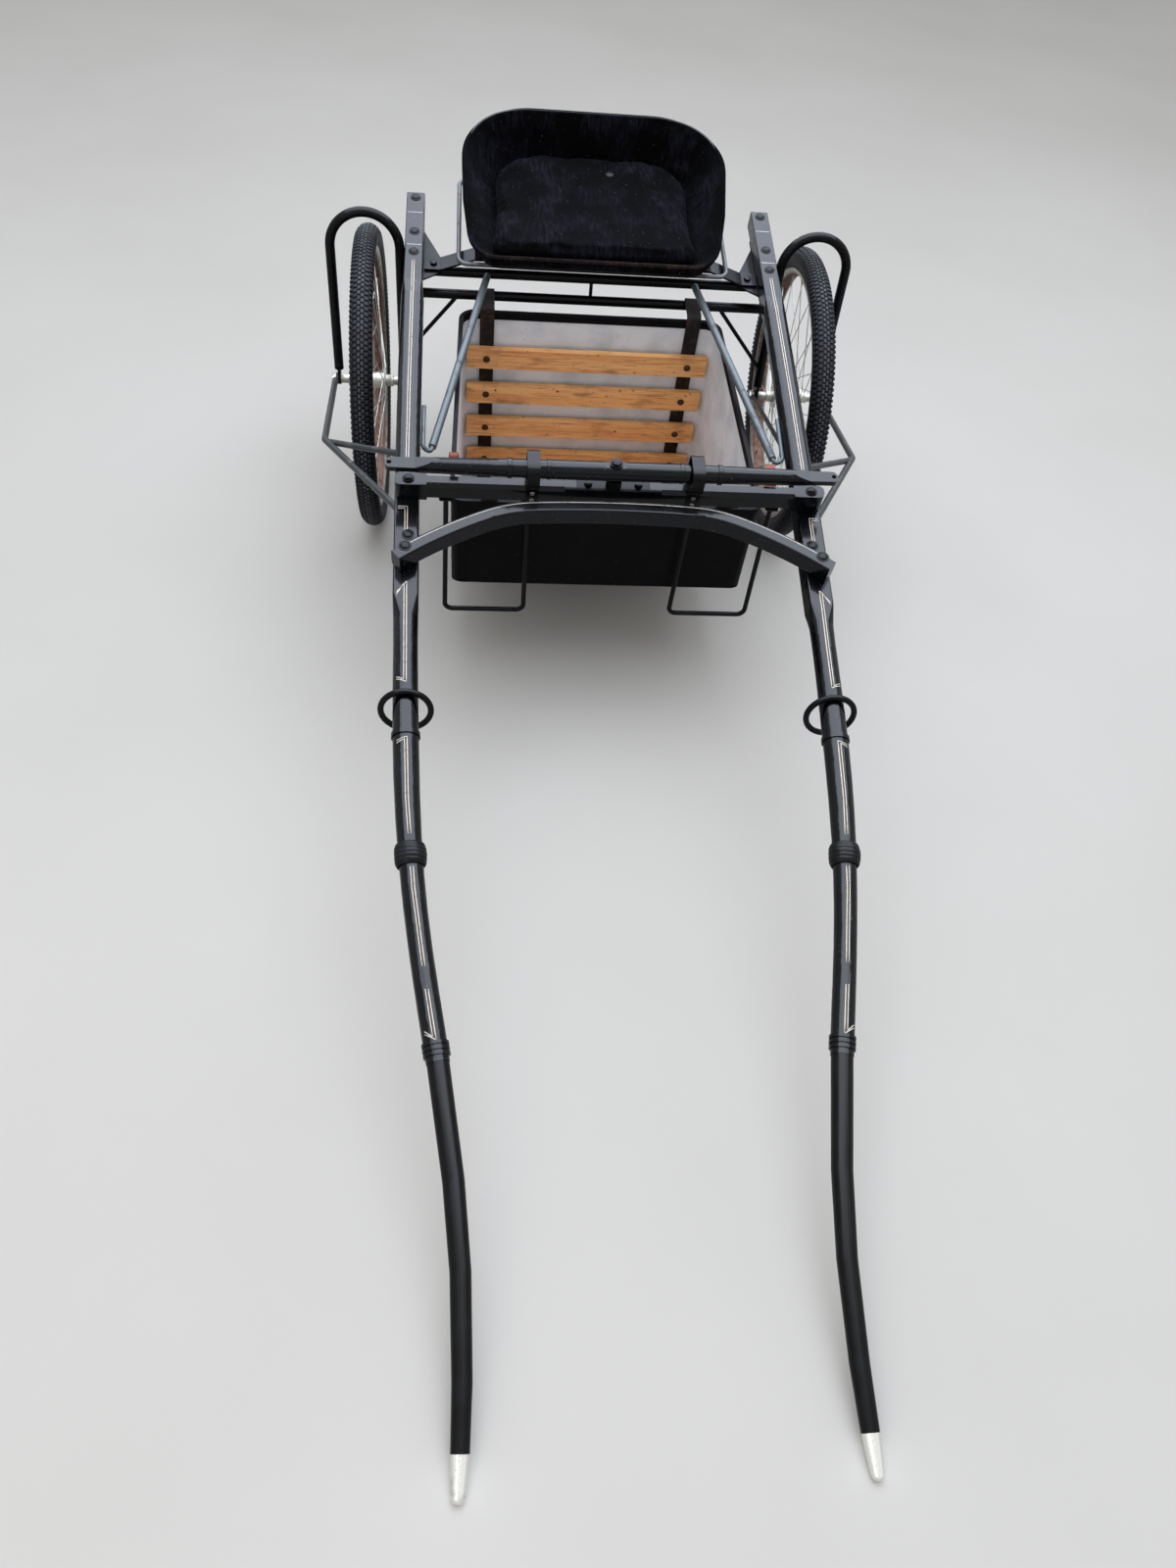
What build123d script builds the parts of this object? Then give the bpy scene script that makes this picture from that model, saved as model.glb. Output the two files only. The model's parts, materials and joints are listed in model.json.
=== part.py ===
"""Two-wheeled horse-drawn jog cart, parked on its wheels and its shaft tips.

Millimetres, +Z up, shafts pointing to -Y, floor at Z = 0, symmetric about X = 0.
Most of the cart is laid out in its own tilted frame: x across, v rearward from
the axle line, w square to the shafts. The tilt follows from the wheel radius
and the shaft tips, so the tips always rest on the floor.
"""
import math
import os

from build123d import *

os.makedirs("parts", exist_ok=True)

# general fits
SEAT_GAP = 0.3
RUN_GAP = 0.05
FREE_GAP = 5.0
SIDES = {"left": -1, "right": 1}

# wheels
WHEEL_R = 337.0
WHEEL_X = 500.0
TYRE_R = 27.0
TYRE_H = 46.5
RIM_H_IN = 15.5
RIM_OUT_R = WHEEL_R - TYRE_H
RIM_IN_R = RIM_OUT_R - RIM_H_IN
RIM_W = 36.0
RIM_LIP = 8.0
HUB_R = 17.5
HUB_HALF = 50.0
HUB_END_R = 13.0
FLANGE_R = 27.0
FLANGE_X = 30.0
FLANGE_T = 4.0
SPOKE_R = 0.95
SPOKE_COUNT = 36
SPOKE_STAGGER = 2.2
SPOKE_RIM_X = 4.0
SPOKE_WRAP = 52.0
AXLE_R = 5.0
NUT_R = 10.0
NUT_T = 8.0

# fork and frame tubes
FORK_LEAN = 14.2
TUBE_R = 10.5
ARCH_H = 385.0
ARCH_HALF = 75.0
DROPOUT_T = 6.0
DROPOUT_W = 26.0
LEG_END_H = 26.0
UPPER_TUBE_H = 266.0
TUBE_PITCH = 50.0
LOWER_TUBE_H = UPPER_TUBE_H - TUBE_PITCH
TIE_R = 4.0
BRACE_R = 4.5
BRACE_X = 297.0
BRACE_H = 64.0

# shafts
GUSSET_T = 4.0
GUSSET_X = 334.0
GUSSET_UNDER = (-20.0, 205.0)
GUSSET_WING = (18.0, 176.0)
REAR_W = 40.0
REAR_H = 40.0
TIP_R = 9.5
TIP_BASE_R = 13.0
TIP_V = -2272.0
TIP_BASE_V = -2224.0
COVER_V = -1706.0
COVER_T = 2.0
LEAN = math.radians(FORK_LEAN)
UPPER_TUBE_V = UPPER_TUBE_H * math.sin(LEAN)
UPPER_TUBE_W = UPPER_TUBE_H * math.cos(LEAN)
SHAFT_W = UPPER_TUBE_W + TUBE_R + SEAT_GAP + GUSSET_T + REAR_H / 2 + SEAT_GAP

# centre line of one shaft: rearward place, distance from the middle, drop below SHAFT_W
LINE = [
    (255, 394, 0),
    (-34, 394, 0),
    (-340, 393, 3),
    (-650, 390, 6),
    (-857, 386, 10),
    (-1065, 381, 17),
    (-1273, 372, 26),
    (-1430, 358, 36),
    (-1588, 335, 46),
    (-1740, 309, 52),
    (-1878, 290, 55),
    (-2002, 279, 56),
    (-2140, 276, 56.5),
    (-2224, 278, 57),
    (TIP_V, 280, 57),
]
# zones of a shaft from the rear: smooth or straight, then (place, width, height, corner radius)
REAR_ZONE = (True, [(255, REAR_W, REAR_H, 3), (-34, REAR_W, REAR_H, 3)])
SHOULDER_ZONE = (True, [(-34, REAR_W, REAR_H, 3), (-75, 48, 46, 16)])
MID_ZONE = (False, [(-75, 48, 46, 16), (-340, 48, 46, 17), (-575, 47, 45, 16)])
ENTRY_ZONE = (True, [(-575, 47, 45, 16), (-592, 46, 44, 4)])
SQUARE_ZONE = (True, [(-592, 46, 44, 4), (-865, 46, 44, 4)])
STOP_ZONE = (True, [(-865, 46, 44, 4), (-905, 45, 44, 21.5)])
ROUND_ZONE = (False, [
    (-905, 45, 44, 21.5),
    (-1065, 44.5, 44.5, 21.8),
    (-1273, 43, 43, 21),
    (-1430, 39, 39, 19),
    (-1588, 38, 38, 18.5),
    (COVER_V, 37, 37, 18),
])
CORE_ZONE = (True, [
    (COVER_V, 31, 31, 15),
    (-1878, 29, 29, 14),
    (-2002, 27, 27, 13),
    (-2140, 25, 25, 12),
    (TIP_BASE_V, 22, 22, 10.5),
])
ZONES = [REAR_ZONE, SHOULDER_ZONE, MID_ZONE, ENTRY_ZONE, SQUARE_ZONE, STOP_ZONE, ROUND_ZONE, CORE_ZONE]

# what sits on a shaft: raised rings, the loose ring and the bound stop
BAND_V = -1147.0
BAND_LENGTH = 8.0
BAND_T = 2.0
MOULDING_V = -1694.0
MOULDING_PITCH = 8.0
MOULDING_COUNT = 3
MOULDING_LENGTH = 5.0
BORE_GAP = 0.6
RING_V = -1084.0
RING_R = 43.5
RING_WIRE_R = 5.5
RING_REST = 1.7
STOP_V = -1368.0
STOP_LENGTH = 40.0
STOP_T = 7.5
STOP_END_T = 4.0

# crossbar, bow and singletree
BAR_AHEAD = 33.0
BAR_DEPTH = 30.0
BAR_H = 40.5
BAR_HALF = 411.0
BAR_END_R = 12.0
BAR_CHAMFER = 7.0
BAR_CHAMFER_FROM = 92.0
BAR_CHAMFER_TO = 352.0
BOW_W = 26.0
BOW_H = 38.0
BOW_EDGE_R = 4.0
BOW_AHEAD = 32.0
BOW_SEAT_AHEAD = 120.0
# radius and turn in degrees of each arc of the bow, from the middle out
BOW_ARCS = [
    (2250.0, 3.8),
    (253.0, 21.2),
    (829.0, 13.4),
]
TREE_R = 18.0
TREE_END_R = 13.5
TREE_HALF = 427.0
TREE_HOLE_X = TREE_HALF - 8.5
TREE_HOLE_R = 4.5
TREE_TONGUE_T = 11.0
TREE_TONGUE_X = TREE_HALF - 55.0
TREE_RAMP = 60.0
TREE_BEADS = (125.0, 198.0)
TREE_LIFT = 18.0
TREE_FLAT = 16.5
TREE_FLAT_HALF = 20.0
TREE_SWING = 2.0
PIVOT_R = 6.0
PIVOT_BOSS_R = 15.0
PIVOT_HEAD_R = 12.0
PIVOT_HEAD_T = 5.0
PLATE_T = 5.0
PLATE_HALF = 70.0
STRAP_X = 154.0
STRAP_W = 24.0
STRAP_T = 3.5
STRAP_BEND_R = 15.0
STRAP_HEM = 6.0

# stirrups
STIRRUP_R = 5.0
STIRRUP_DROP = 302.0
STIRRUP_SWAY = 35.0
STIRRUP_OUT = (316.0, 321.0)
STIRRUP_IN = (160.0, 156.0)
STIRRUP_CORNER = 16.0
STIRRUP_PAD = 26.0
STIRRUP_PAD_T = 4.0

# foot basket
BASKET_V = -3.0
BASKET_UNDER = 1.0
BASKET_W = LOWER_TUBE_H - BASKET_UNDER
BASKET_RISE = 5.5
BASKET_LENGTH = 612.0
BASKET_REAR_HALF = 292.0
BASKET_FRONT_HALF = 308.0
BASKET_REAR_DEPTH = 474.0
BASKET_FRONT_DEPTH = 226.0
BASKET_REAR_CORNER = 34.0
BASKET_FRONT_CORNER = 24.0
SHEET_T = 3.0
BINDING_H = 18.0
BINDING_W = 9.0
IRON_X = 233.0
IRON_W = 32.0
IRON_T = 5.0
IRON_HOOK = 40.0
IRON_BEND_R = 12.0
IRON_HEEL_R = 26.0
IRON_TOE_R = 30.0
SLAT_LENGTH = 556.0
SLAT_W = 51.0
SLAT_T = 14.0
SLAT_PITCH = 96.0
BACK_FIRST = 121.0
BACK_SLATS = 4
FLOOR_FIRST = 112.0
FLOOR_SLATS = 5

# seat
LEAF_T = 5.0
LEAF_W = 40.0
LEAF_END_X = 372.0
LEAF_EYE_X = 338.0
LEAF_CROWN_X = 262.0
LEAF_RISE = 30.0
PAN_T = 4.0
PAN_FRONT_V = 19.0
RIM_H = 132.0
# seat outline by height: half width, depth, front corner and back corner radius
PAN_SECTIONS = [
    (0.0, 250.0, 362.0, 46.0, 122.0),
    (30.0, 273.0, 367.0, 58.0, 140.0),
    (72.0, 286.0, 369.0, 66.0, 152.0),
    (RIM_H, 291.0, 370.0, 70.0, 158.0),
]
# side edge of the seat: rearward of its front, height above its underside
PAN_EDGE = [
    (-30, 18),
    (30, 24),
    (120, 70),
    (230, 112),
    (420, 130),
]
COVER_GAP = 0.3
COVER_WALL = 5.0
COVER_RISE = 4.0
PAD_T = 13.0
PAD_RISE = 5.0
PAD_MARGIN = 12.0
RAIL_R = 5.0
RAIL_X = 297.0
RAIL_FRONT_V = 35.0
RAIL_REAR_V = 322.0
RAIL_END_X = 196.0
RAIL_BEND_R = 20.0

# seat struts, guards, stays
STRUT_R = 8.0
STRUT_TOP_X = 232.0
STRUT_END = (345.0, -478.0)
STRUT_DROP = 14.0
HOOK_R = 4.5
HOOK_BEND_R = 9.0
HOOK_LENGTH = 96.0
GUARD_R = 7.0
GUARD_BEND_R = 30.0
GUARD_BEND = (577.0, -332.0, 137.0)
GUARD_FRONT_V = -650.0
GUARD_BRACE_V = -511.0
STAY_R = 5.0
STAY_V = -505.0
EYE_T = 4.0
EYE_R = 13.0

# the parked position
TIP_W = SHAFT_W - LINE[-1][2]
TIP_REACH = math.hypot(TIP_V, TIP_W)
TILT = math.atan2(TIP_W, -TIP_V) - math.asin((TIP_R - WHEEL_R) / TIP_REACH)
FRONT_REACH = -TIP_V * math.cos(TILT) + TIP_W * math.sin(TILT) + TIP_R
AXLE_Y = (FRONT_REACH - WHEEL_R) / 2
CART = Plane(
    origin=(0, AXLE_Y, WHEEL_R),
    x_dir=(1, 0, 0),
    z_dir=(0, -math.sin(TILT), math.cos(TILT)),
)
BAR_FRONT_V = BASKET_V - BASKET_LENGTH - BAR_AHEAD
BAR_REAR_V = BAR_FRONT_V + BAR_DEPTH
BAR_V = (BAR_FRONT_V + BAR_REAR_V) / 2
BOW_V = BAR_FRONT_V - BOW_AHEAD
BOW_SEAT_V = BOW_V - BOW_SEAT_AHEAD


def cart(x, v, w):
    """World place of a point of the cart's own frame."""
    return CART.from_local_coords(Vector(x, v, w))


def cart_way(x, v, w):
    """World direction of a direction of the cart's own frame."""
    return cart(x, v, w) - cart(0, 0, 0)


def fork(x, h):
    """World place of a point of the fork's plane, h up from the axle line."""
    return cart(x, h * math.sin(LEAN), h * math.cos(LEAN))


def level(w, v=0.0):
    """Plane square to w: its x across, its y rearward, its origin at (0, v, w)."""
    return Plane(origin=cart(0, v, w), x_dir=(1, 0, 0), z_dir=cart_way(0, 0, 1))


def across(v, w=0.0):
    """Plane square to v: its x across, its y along w, looking forward."""
    return Plane(origin=cart(0, v, w), x_dir=(1, 0, 0), z_dir=cart_way(0, -1, 0))


def beside(x, v=0.0, w=0.0):
    """Plane square to x: its x rearward, its y along w."""
    return Plane(origin=cart(x, v, w), x_dir=cart_way(0, 1, 0), z_dir=(1, 0, 0))


def line_at(v):
    """Distance from the middle and height of a shaft's centre line at v."""
    for near, far in zip(LINE, LINE[1:]):
        if v >= far[0] or far is LINE[-1]:
            share = (near[0] - v) / (near[0] - far[0])
            x = near[1] + share * (far[1] - near[1])
            drop = near[2] + share * (far[2] - near[2])
            return x, SHAFT_W - drop
    return LINE[-1][1], TIP_W


def line_way(v, reach=40.0):
    """Direction of a shaft's centre line at v, pointing forward."""
    back = line_at(min(v + reach, LINE[0][0]))
    ahead = line_at(max(v - reach, TIP_V))
    run = min(v + reach, LINE[0][0]) - max(v - reach, TIP_V)
    return ahead[0] - back[0], -run, ahead[1] - back[1]


def station(side, v):
    """Plane square to one shaft's centre line at v."""
    x, w = line_at(v)
    dx, dv, dw = line_way(v)
    if v > SQUARE_ZONE[1][-1][0] - 1:
        dx, dv, dw = 0, -1, 0
    tangent = cart_way(side * dx, dv, dw).normalized()
    up = cart_way(0, 0, 1)
    return Plane(origin=cart(side * x, v, w), x_dir=up.cross(tangent).normalized(), z_dir=tangent)


def size_at(v):
    """Width and height of a shaft at v."""
    for _, rows in ZONES:
        for near, far in zip(rows, rows[1:]):
            if near[0] >= v >= far[0]:
                share = (near[0] - v) / (near[0] - far[0])
                return (
                    near[1] + share * (far[1] - near[1]),
                    near[2] + share * (far[2] - near[2]),
                )
    return ZONES[-1][1][-1][1:3]


def wood_at(wood, side, v):
    """Plane square to a shaft at v, centred on the bent wood itself, and the wood's radius there."""
    plane = station(side, v)
    box = plane.to_local_coords(section(wood, section_by=plane)).bounding_box()
    middle = plane.from_local_coords(box.center())
    return Plane(origin=middle, x_dir=plane.x_dir, z_dir=plane.z_dir), max(box.size.X, box.size.Y) / 2


def rod_path(points, radii):
    """Straight runs between the points, bent at each inner point to its radius."""
    places = [Vector(p) for p in points]
    start = places[0]
    for before, corner, after, radius in zip(places, places[1:], places[2:], radii):
        back = (before - corner).normalized()
        ahead = (after - corner).normalized()
        half = math.acos(max(-1.0, min(1.0, back.dot(ahead)))) / 2
        inset = radius / math.tan(half)
        bisector = (back + ahead).normalized()
        first = corner + back * inset
        last = corner + ahead * inset
        middle = corner + bisector * (radius / math.sin(half) - radius)
        Line(start, first)
        ThreePointArc(first, middle, last)
        start = last
    Line(start, places[-1])


def end_plane(first, second, x_dir=None):
    """Plane at the first point, square to the way to the second."""
    way = (Vector(second) - Vector(first)).normalized()
    if x_dir is None:
        return Plane(origin=first, z_dir=way)
    return Plane(origin=first, x_dir=x_dir, z_dir=way)


# wheels
for name, side in SIDES.items():
    centre = (side * WHEEL_X, AXLE_Y, WHEEL_R)
    wheel = Plane(origin=centre, x_dir=(1, 0, 0), z_dir=(0, -1, 0))
    spin = Axis(centre, (1, 0, 0))

    with BuildPart() as tyre:
        with BuildSketch(wheel):
            with Locations((0, WHEEL_R - TYRE_R)):
                Circle(TYRE_R)
            with Locations((0, RIM_OUT_R + SEAT_GAP)):
                Rectangle(4 * TYRE_R, WHEEL_R, align=(Align.CENTER, Align.MAX), mode=Mode.SUBTRACT)
        revolve(axis=spin)
    tyre.part.label = f"wheel_{name}_tyre"

    with BuildPart() as rim:
        with BuildSketch(wheel):
            with BuildLine():
                Polyline(
                    (-RIM_W / 2, RIM_OUT_R),
                    (RIM_W / 2, RIM_OUT_R),
                    (RIM_W / 2, RIM_OUT_R - RIM_LIP),
                    (RIM_W / 4, RIM_IN_R),
                    (-RIM_W / 4, RIM_IN_R),
                    (-RIM_W / 2, RIM_OUT_R - RIM_LIP),
                    close=True,
                )
            make_face()
        revolve(axis=spin)
    rim.part.label = f"wheel_{name}_rim"

    with BuildPart() as hub:
        with BuildSketch(wheel):
            with Locations((0, (HUB_R + AXLE_R) / 2)):
                Rectangle(2 * FLANGE_X, HUB_R - AXLE_R)
            with Locations((0, (HUB_END_R + AXLE_R) / 2)):
                Rectangle(2 * HUB_HALF, HUB_END_R - AXLE_R)
            with Locations((-FLANGE_X, (FLANGE_R + AXLE_R) / 2), (FLANGE_X, (FLANGE_R + AXLE_R) / 2)):
                Rectangle(FLANGE_T, FLANGE_R - AXLE_R)
            with Locations((0, AXLE_R + RUN_GAP)):
                Rectangle(4 * HUB_HALF, AXLE_R, align=(Align.CENTER, Align.MAX), mode=Mode.SUBTRACT)
        revolve(axis=spin)
    hub.part.label = f"wheel_{name}_hub"

    pitch = 360 / SPOKE_COUNT
    hub_start = FLANGE_R + SPOKE_R + SEAT_GAP / 2
    rim_end = RIM_IN_R - SEAT_GAP
    with BuildPart() as spokes:
        for index in range(SPOKE_COUNT):
            flange = 1 if index % 2 else -1
            lead = 1 if index % 4 < 2 else -1
            rim_angle = math.radians(index * pitch)
            hub_angle = rim_angle + lead * math.radians(SPOKE_WRAP)
            hub_x = side * WHEEL_X + flange * FLANGE_X + lead * SPOKE_STAGGER
            rim_x = side * WHEEL_X + flange * SPOKE_RIM_X
            inner = Vector(
                hub_x,
                AXLE_Y + hub_start * math.cos(hub_angle),
                WHEEL_R + hub_start * math.sin(hub_angle),
            )
            outer = Vector(
                rim_x,
                AXLE_Y + rim_end * math.cos(rim_angle),
                WHEEL_R + rim_end * math.sin(rim_angle),
            )
            length = (outer - inner).length
            with Locations(end_plane(inner, outer)):
                Cylinder(SPOKE_R, length, align=(Align.CENTER, Align.CENTER, Align.MIN))
    spokes.part.label = f"wheel_{name}_spokes"

    # axle: a fixed pin through the hub, a collar each side of it and the outer nuts
    reach = ARCH_HALF + DROPOUT_T / 2 + EYE_T + SEAT_GAP
    with BuildPart() as axle:
        with BuildSketch(wheel):
            with Locations((0, AXLE_R / 2)):
                Rectangle(2 * (reach + NUT_T + 3), AXLE_R)
            collar = ARCH_HALF - DROPOUT_T / 2 - SEAT_GAP - (HUB_HALF + 1)
            collar_x = HUB_HALF + 1 + collar / 2
            with Locations((collar_x, NUT_R / 2), (-collar_x, NUT_R / 2)):
                Rectangle(collar, NUT_R)
            nut_x = reach + SEAT_GAP + NUT_T / 2
            with Locations((nut_x, NUT_R / 2), (-nut_x, NUT_R / 2)):
                Rectangle(NUT_T, NUT_R)
        revolve(axis=spin)
    axle.part.label = f"axle_{name}"

    for piece in (tyre, rim, hub, spokes, axle):
        export_step(piece.part, f"parts/{piece.part.label}.step")

# fork arches and cross tubes
FORK_UP = (fork(0, 1) - fork(0, 0)).normalized()
for name, side in SIDES.items():
    inner_x = side * (WHEEL_X - ARCH_HALF)
    outer_x = side * (WHEEL_X + ARCH_HALF)
    spring_h = ARCH_H - ARCH_HALF
    with BuildPart() as arch:
        with BuildLine() as arch_line:
            Line(fork(outer_x, LEG_END_H), fork(outer_x, spring_h))
            ThreePointArc(
                fork(outer_x, spring_h),
                fork(side * WHEEL_X, ARCH_H),
                fork(inner_x, spring_h),
            )
            Line(fork(inner_x, spring_h), fork(inner_x, LEG_END_H))
        with BuildSketch(Plane(origin=fork(outer_x, LEG_END_H), x_dir=(1, 0, 0), z_dir=FORK_UP)):
            Circle(TUBE_R)
        sweep(path=arch_line.wires()[0])
        for leg_x in (inner_x, outer_x):
            drop = Plane(origin=fork(leg_x, 0), x_dir=FORK_UP, z_dir=(1, 0, 0))
            with BuildSketch(drop):
                with Locations((LEG_END_H / 2 + 4, 0)):
                    SlotOverall(LEG_END_H + 8 + DROPOUT_W, DROPOUT_W)
            extrude(amount=DROPOUT_T / 2, both=True)
            with BuildSketch(drop):
                Circle(AXLE_R + RUN_GAP)
            extrude(amount=DROPOUT_T, both=True, mode=Mode.SUBTRACT)
    arch.part.label = f"fork_arch_{name}"
    export_step(arch.part, f"parts/{arch.part.label}.step")

    # diagonal rod from the lower tube down to the inner leg
    low = fork(side * BRACE_X, LOWER_TUBE_H)
    foot = fork(inner_x, BRACE_H)
    with BuildPart() as brace:
        with Locations(end_plane(low, foot)):
            Cylinder(BRACE_R, (foot - low).length, align=(Align.CENTER, Align.CENTER, Align.MIN))
        with Locations(Plane(origin=fork(0, LOWER_TUBE_H), z_dir=(1, 0, 0))):
            Cylinder(TUBE_R + SEAT_GAP, 2 * WHEEL_X, mode=Mode.SUBTRACT)
        with Locations(Plane(origin=fork(inner_x, BRACE_H), z_dir=FORK_UP)):
            Cylinder(TUBE_R + SEAT_GAP, 8 * TUBE_R, mode=Mode.SUBTRACT)
    brace.part.label = f"frame_brace_{name}"
    export_step(brace.part, f"parts/{brace.part.label}.step")

TUBE_HALF = WHEEL_X - ARCH_HALF - TUBE_R - SEAT_GAP
for name, height in {"upper": UPPER_TUBE_H, "lower": LOWER_TUBE_H}.items():
    with BuildPart() as tube:
        with Locations(Plane(origin=fork(0, height), z_dir=(1, 0, 0))):
            Cylinder(TUBE_R, 2 * TUBE_HALF)
    tube.part.label = f"cross_tube_{name}"
    export_step(tube.part, f"parts/{tube.part.label}.step")

with BuildPart() as tie:
    tie_low = fork(0, LOWER_TUBE_H + TUBE_R + SEAT_GAP)
    tie_length = UPPER_TUBE_H - LOWER_TUBE_H - 2 * (TUBE_R + SEAT_GAP)
    with Locations(Plane(origin=tie_low, z_dir=FORK_UP)):
        Cylinder(TIE_R, tie_length, align=(Align.CENTER, Align.CENTER, Align.MIN))
tie.part.label = "cross_tube_tie"
export_step(tie.part, "parts/cross_tube_tie.step")

# shafts and what they carry
for name, side in SIDES.items():
    with BuildPart() as shaft:
        for smooth, rows in [(not straight, rows) for straight, rows in ZONES]:
            for v, width, height, corner in rows:
                with BuildSketch(station(side, v)):
                    RectangleRounded(width, height, corner)
            loft(ruled=not smooth)
    shaft.part.label = f"shaft_{name}"

    # raised rings: one behind the loose ring's place, three ahead of the leather cover
    rings = [(BAND_V, BAND_LENGTH)]
    for number in range(MOULDING_COUNT):
        rings.append((MOULDING_V + number * MOULDING_PITCH, MOULDING_LENGTH))
    with BuildPart() as mouldings:
        for v, length in rings:
            ring_plane, wood_r = wood_at(shaft.part, side, v)
            with Locations(ring_plane):
                Cylinder(wood_r + BORE_GAP + BAND_T, length)
                Cylinder(wood_r + BORE_GAP, 2 * length, mode=Mode.SUBTRACT)
    mouldings.part.label = f"shaft_moulding_{name}"

    with BuildPart() as cover:
        for v, width, height, corner in CORE_ZONE[1]:
            with BuildSketch(station(side, v)):
                RectangleRounded(width + 2 * COVER_T, height + 2 * COVER_T, corner + COVER_T)
        loft(ruled=True)
        for v, width, height, corner in CORE_ZONE[1]:
            with BuildSketch(station(side, v)):
                RectangleRounded(width + 2 * SEAT_GAP, height + 2 * SEAT_GAP, corner + SEAT_GAP)
        loft(ruled=True, mode=Mode.SUBTRACT)
    cover.part.label = f"shaft_point_cover_{name}"

    base = station(side, TIP_BASE_V)
    tip_centre = cart(side * LINE[-1][1], TIP_V, TIP_W)
    tip_way = (tip_centre - base.origin).normalized()
    tip_length = (tip_centre - base.origin).length - SEAT_GAP
    tip_plane = Plane(origin=base.origin + tip_way * SEAT_GAP, x_dir=base.x_dir, z_dir=tip_way)
    with BuildPart() as tip:
        with Locations(tip_plane):
            Cone(TIP_BASE_R, TIP_R, tip_length, align=(Align.CENTER, Align.CENTER, Align.MIN))
        with Locations(Plane(origin=tip_centre, x_dir=base.x_dir, z_dir=tip_way)):
            Sphere(TIP_R)
    tip.part.label = f"shaft_tip_{name}"

    # loose iron ring hanging upright over the shaft
    ring_x, ring_w = line_at(RING_V)
    ring_top = size_at(RING_V)[1] / 2
    rest = cart(side * ring_x, RING_V, ring_w)
    ring_drop = RING_R - RING_WIRE_R - ring_top / math.cos(TILT) - RING_REST
    with BuildPart() as ring:
        with Locations(Plane(origin=rest + Vector(0, 0, -ring_drop), z_dir=(0, 1, 0))):
            Torus(RING_R, RING_WIRE_R)
    ring.part.label = f"shaft_ring_{name}"

    # bound stop for the shaft loop
    stop_plane, wood_r = wood_at(shaft.part, side, STOP_V)
    bore = wood_r + BORE_GAP + SEAT_GAP
    half = STOP_LENGTH / 2
    with BuildPart() as stop:
        with BuildSketch(Plane(origin=stop_plane.origin, x_dir=stop_plane.x_dir, z_dir=stop_plane.y_dir)):
            with BuildLine():
                Line((bore, -half), (bore, half))
                Line((bore, half), (bore + STOP_END_T, half))
                ThreePointArc((bore + STOP_END_T, half), (bore + STOP_T, 0), (bore + STOP_END_T, -half))
                Line((bore + STOP_END_T, -half), (bore, -half))
            make_face()
        revolve(axis=Axis(stop_plane.origin, stop_plane.z_dir))
    stop.part.label = f"shaft_stop_{name}"

    for piece in (shaft, mouldings, cover, tip, ring, stop):
        export_step(piece.part, f"parts/{piece.part.label}.step")

    # three-cornered plate that joins the shaft's rear end to the upper cross tube
    plate_w = UPPER_TUBE_W + TUBE_R + SEAT_GAP
    rear_x = LINE[0][1]
    with BuildPart() as gusset:
        with BuildSketch(level(plate_w)):
            with BuildLine():
                Polyline(
                    (side * (rear_x + REAR_W / 2), GUSSET_UNDER[0]),
                    (side * (rear_x + REAR_W / 2), GUSSET_UNDER[1]),
                    (side * (rear_x - REAR_W / 2), GUSSET_UNDER[1]),
                    (side * (rear_x - REAR_W / 2), GUSSET_WING[1]),
                    (side * GUSSET_X, UPPER_TUBE_V + LEAF_W / 2),
                    (side * GUSSET_X, UPPER_TUBE_V - LEAF_W / 2),
                    (side * (rear_x - REAR_W / 2), GUSSET_WING[0]),
                    (side * (rear_x - REAR_W / 2), GUSSET_UNDER[0]),
                    close=True,
                )
            make_face()
        extrude(amount=GUSSET_T)
    gusset.part.label = f"shaft_gusset_{name}"
    export_step(gusset.part, f"parts/{gusset.part.label}.step")

# crossbar, bow, singletree
BAR_LOW = line_at(BAR_REAR_V)[1] + size_at(BAR_V)[1] / 2 + SEAT_GAP
BAR_TOP = BAR_LOW + BAR_H
with BuildPart() as crossbar:
    with BuildSketch(level(BAR_LOW, BAR_V)):
        RectangleRounded(2 * BAR_HALF, BAR_DEPTH, BAR_END_R)
    extrude(amount=BAR_H)
    # stopped chamfers along the four long edges, the middle and the ends left square
    middle = (BAR_CHAMFER_FROM + BAR_CHAMFER_TO) / 2
    for side in SIDES.values():
        for turn in (-1, 1):
            for height, lift in ((BAR_LOW, -1), (BAR_TOP, 1)):
                edge = cart(side * middle, BAR_V + turn * (BAR_DEPTH / 2), height)
                out = cart_way(0, turn, lift).normalized()
                face = Plane(origin=edge - out * BAR_CHAMFER / math.sqrt(2), x_dir=(1, 0, 0), z_dir=out)
                with BuildSketch(face):
                    SlotOverall(BAR_CHAMFER_TO - BAR_CHAMFER_FROM, 2 * BAR_CHAMFER * math.sqrt(2))
                extrude(amount=2 * BAR_CHAMFER, mode=Mode.SUBTRACT)
    with BuildSketch(level(BAR_TOP, BAR_V)):
        RectangleRounded(2 * PLATE_HALF + 2 * SEAT_GAP, BAR_DEPTH + 2, 0.5)
    extrude(amount=-PLATE_T - SEAT_GAP, mode=Mode.SUBTRACT)
crossbar.part.label = "crossbar"

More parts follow.
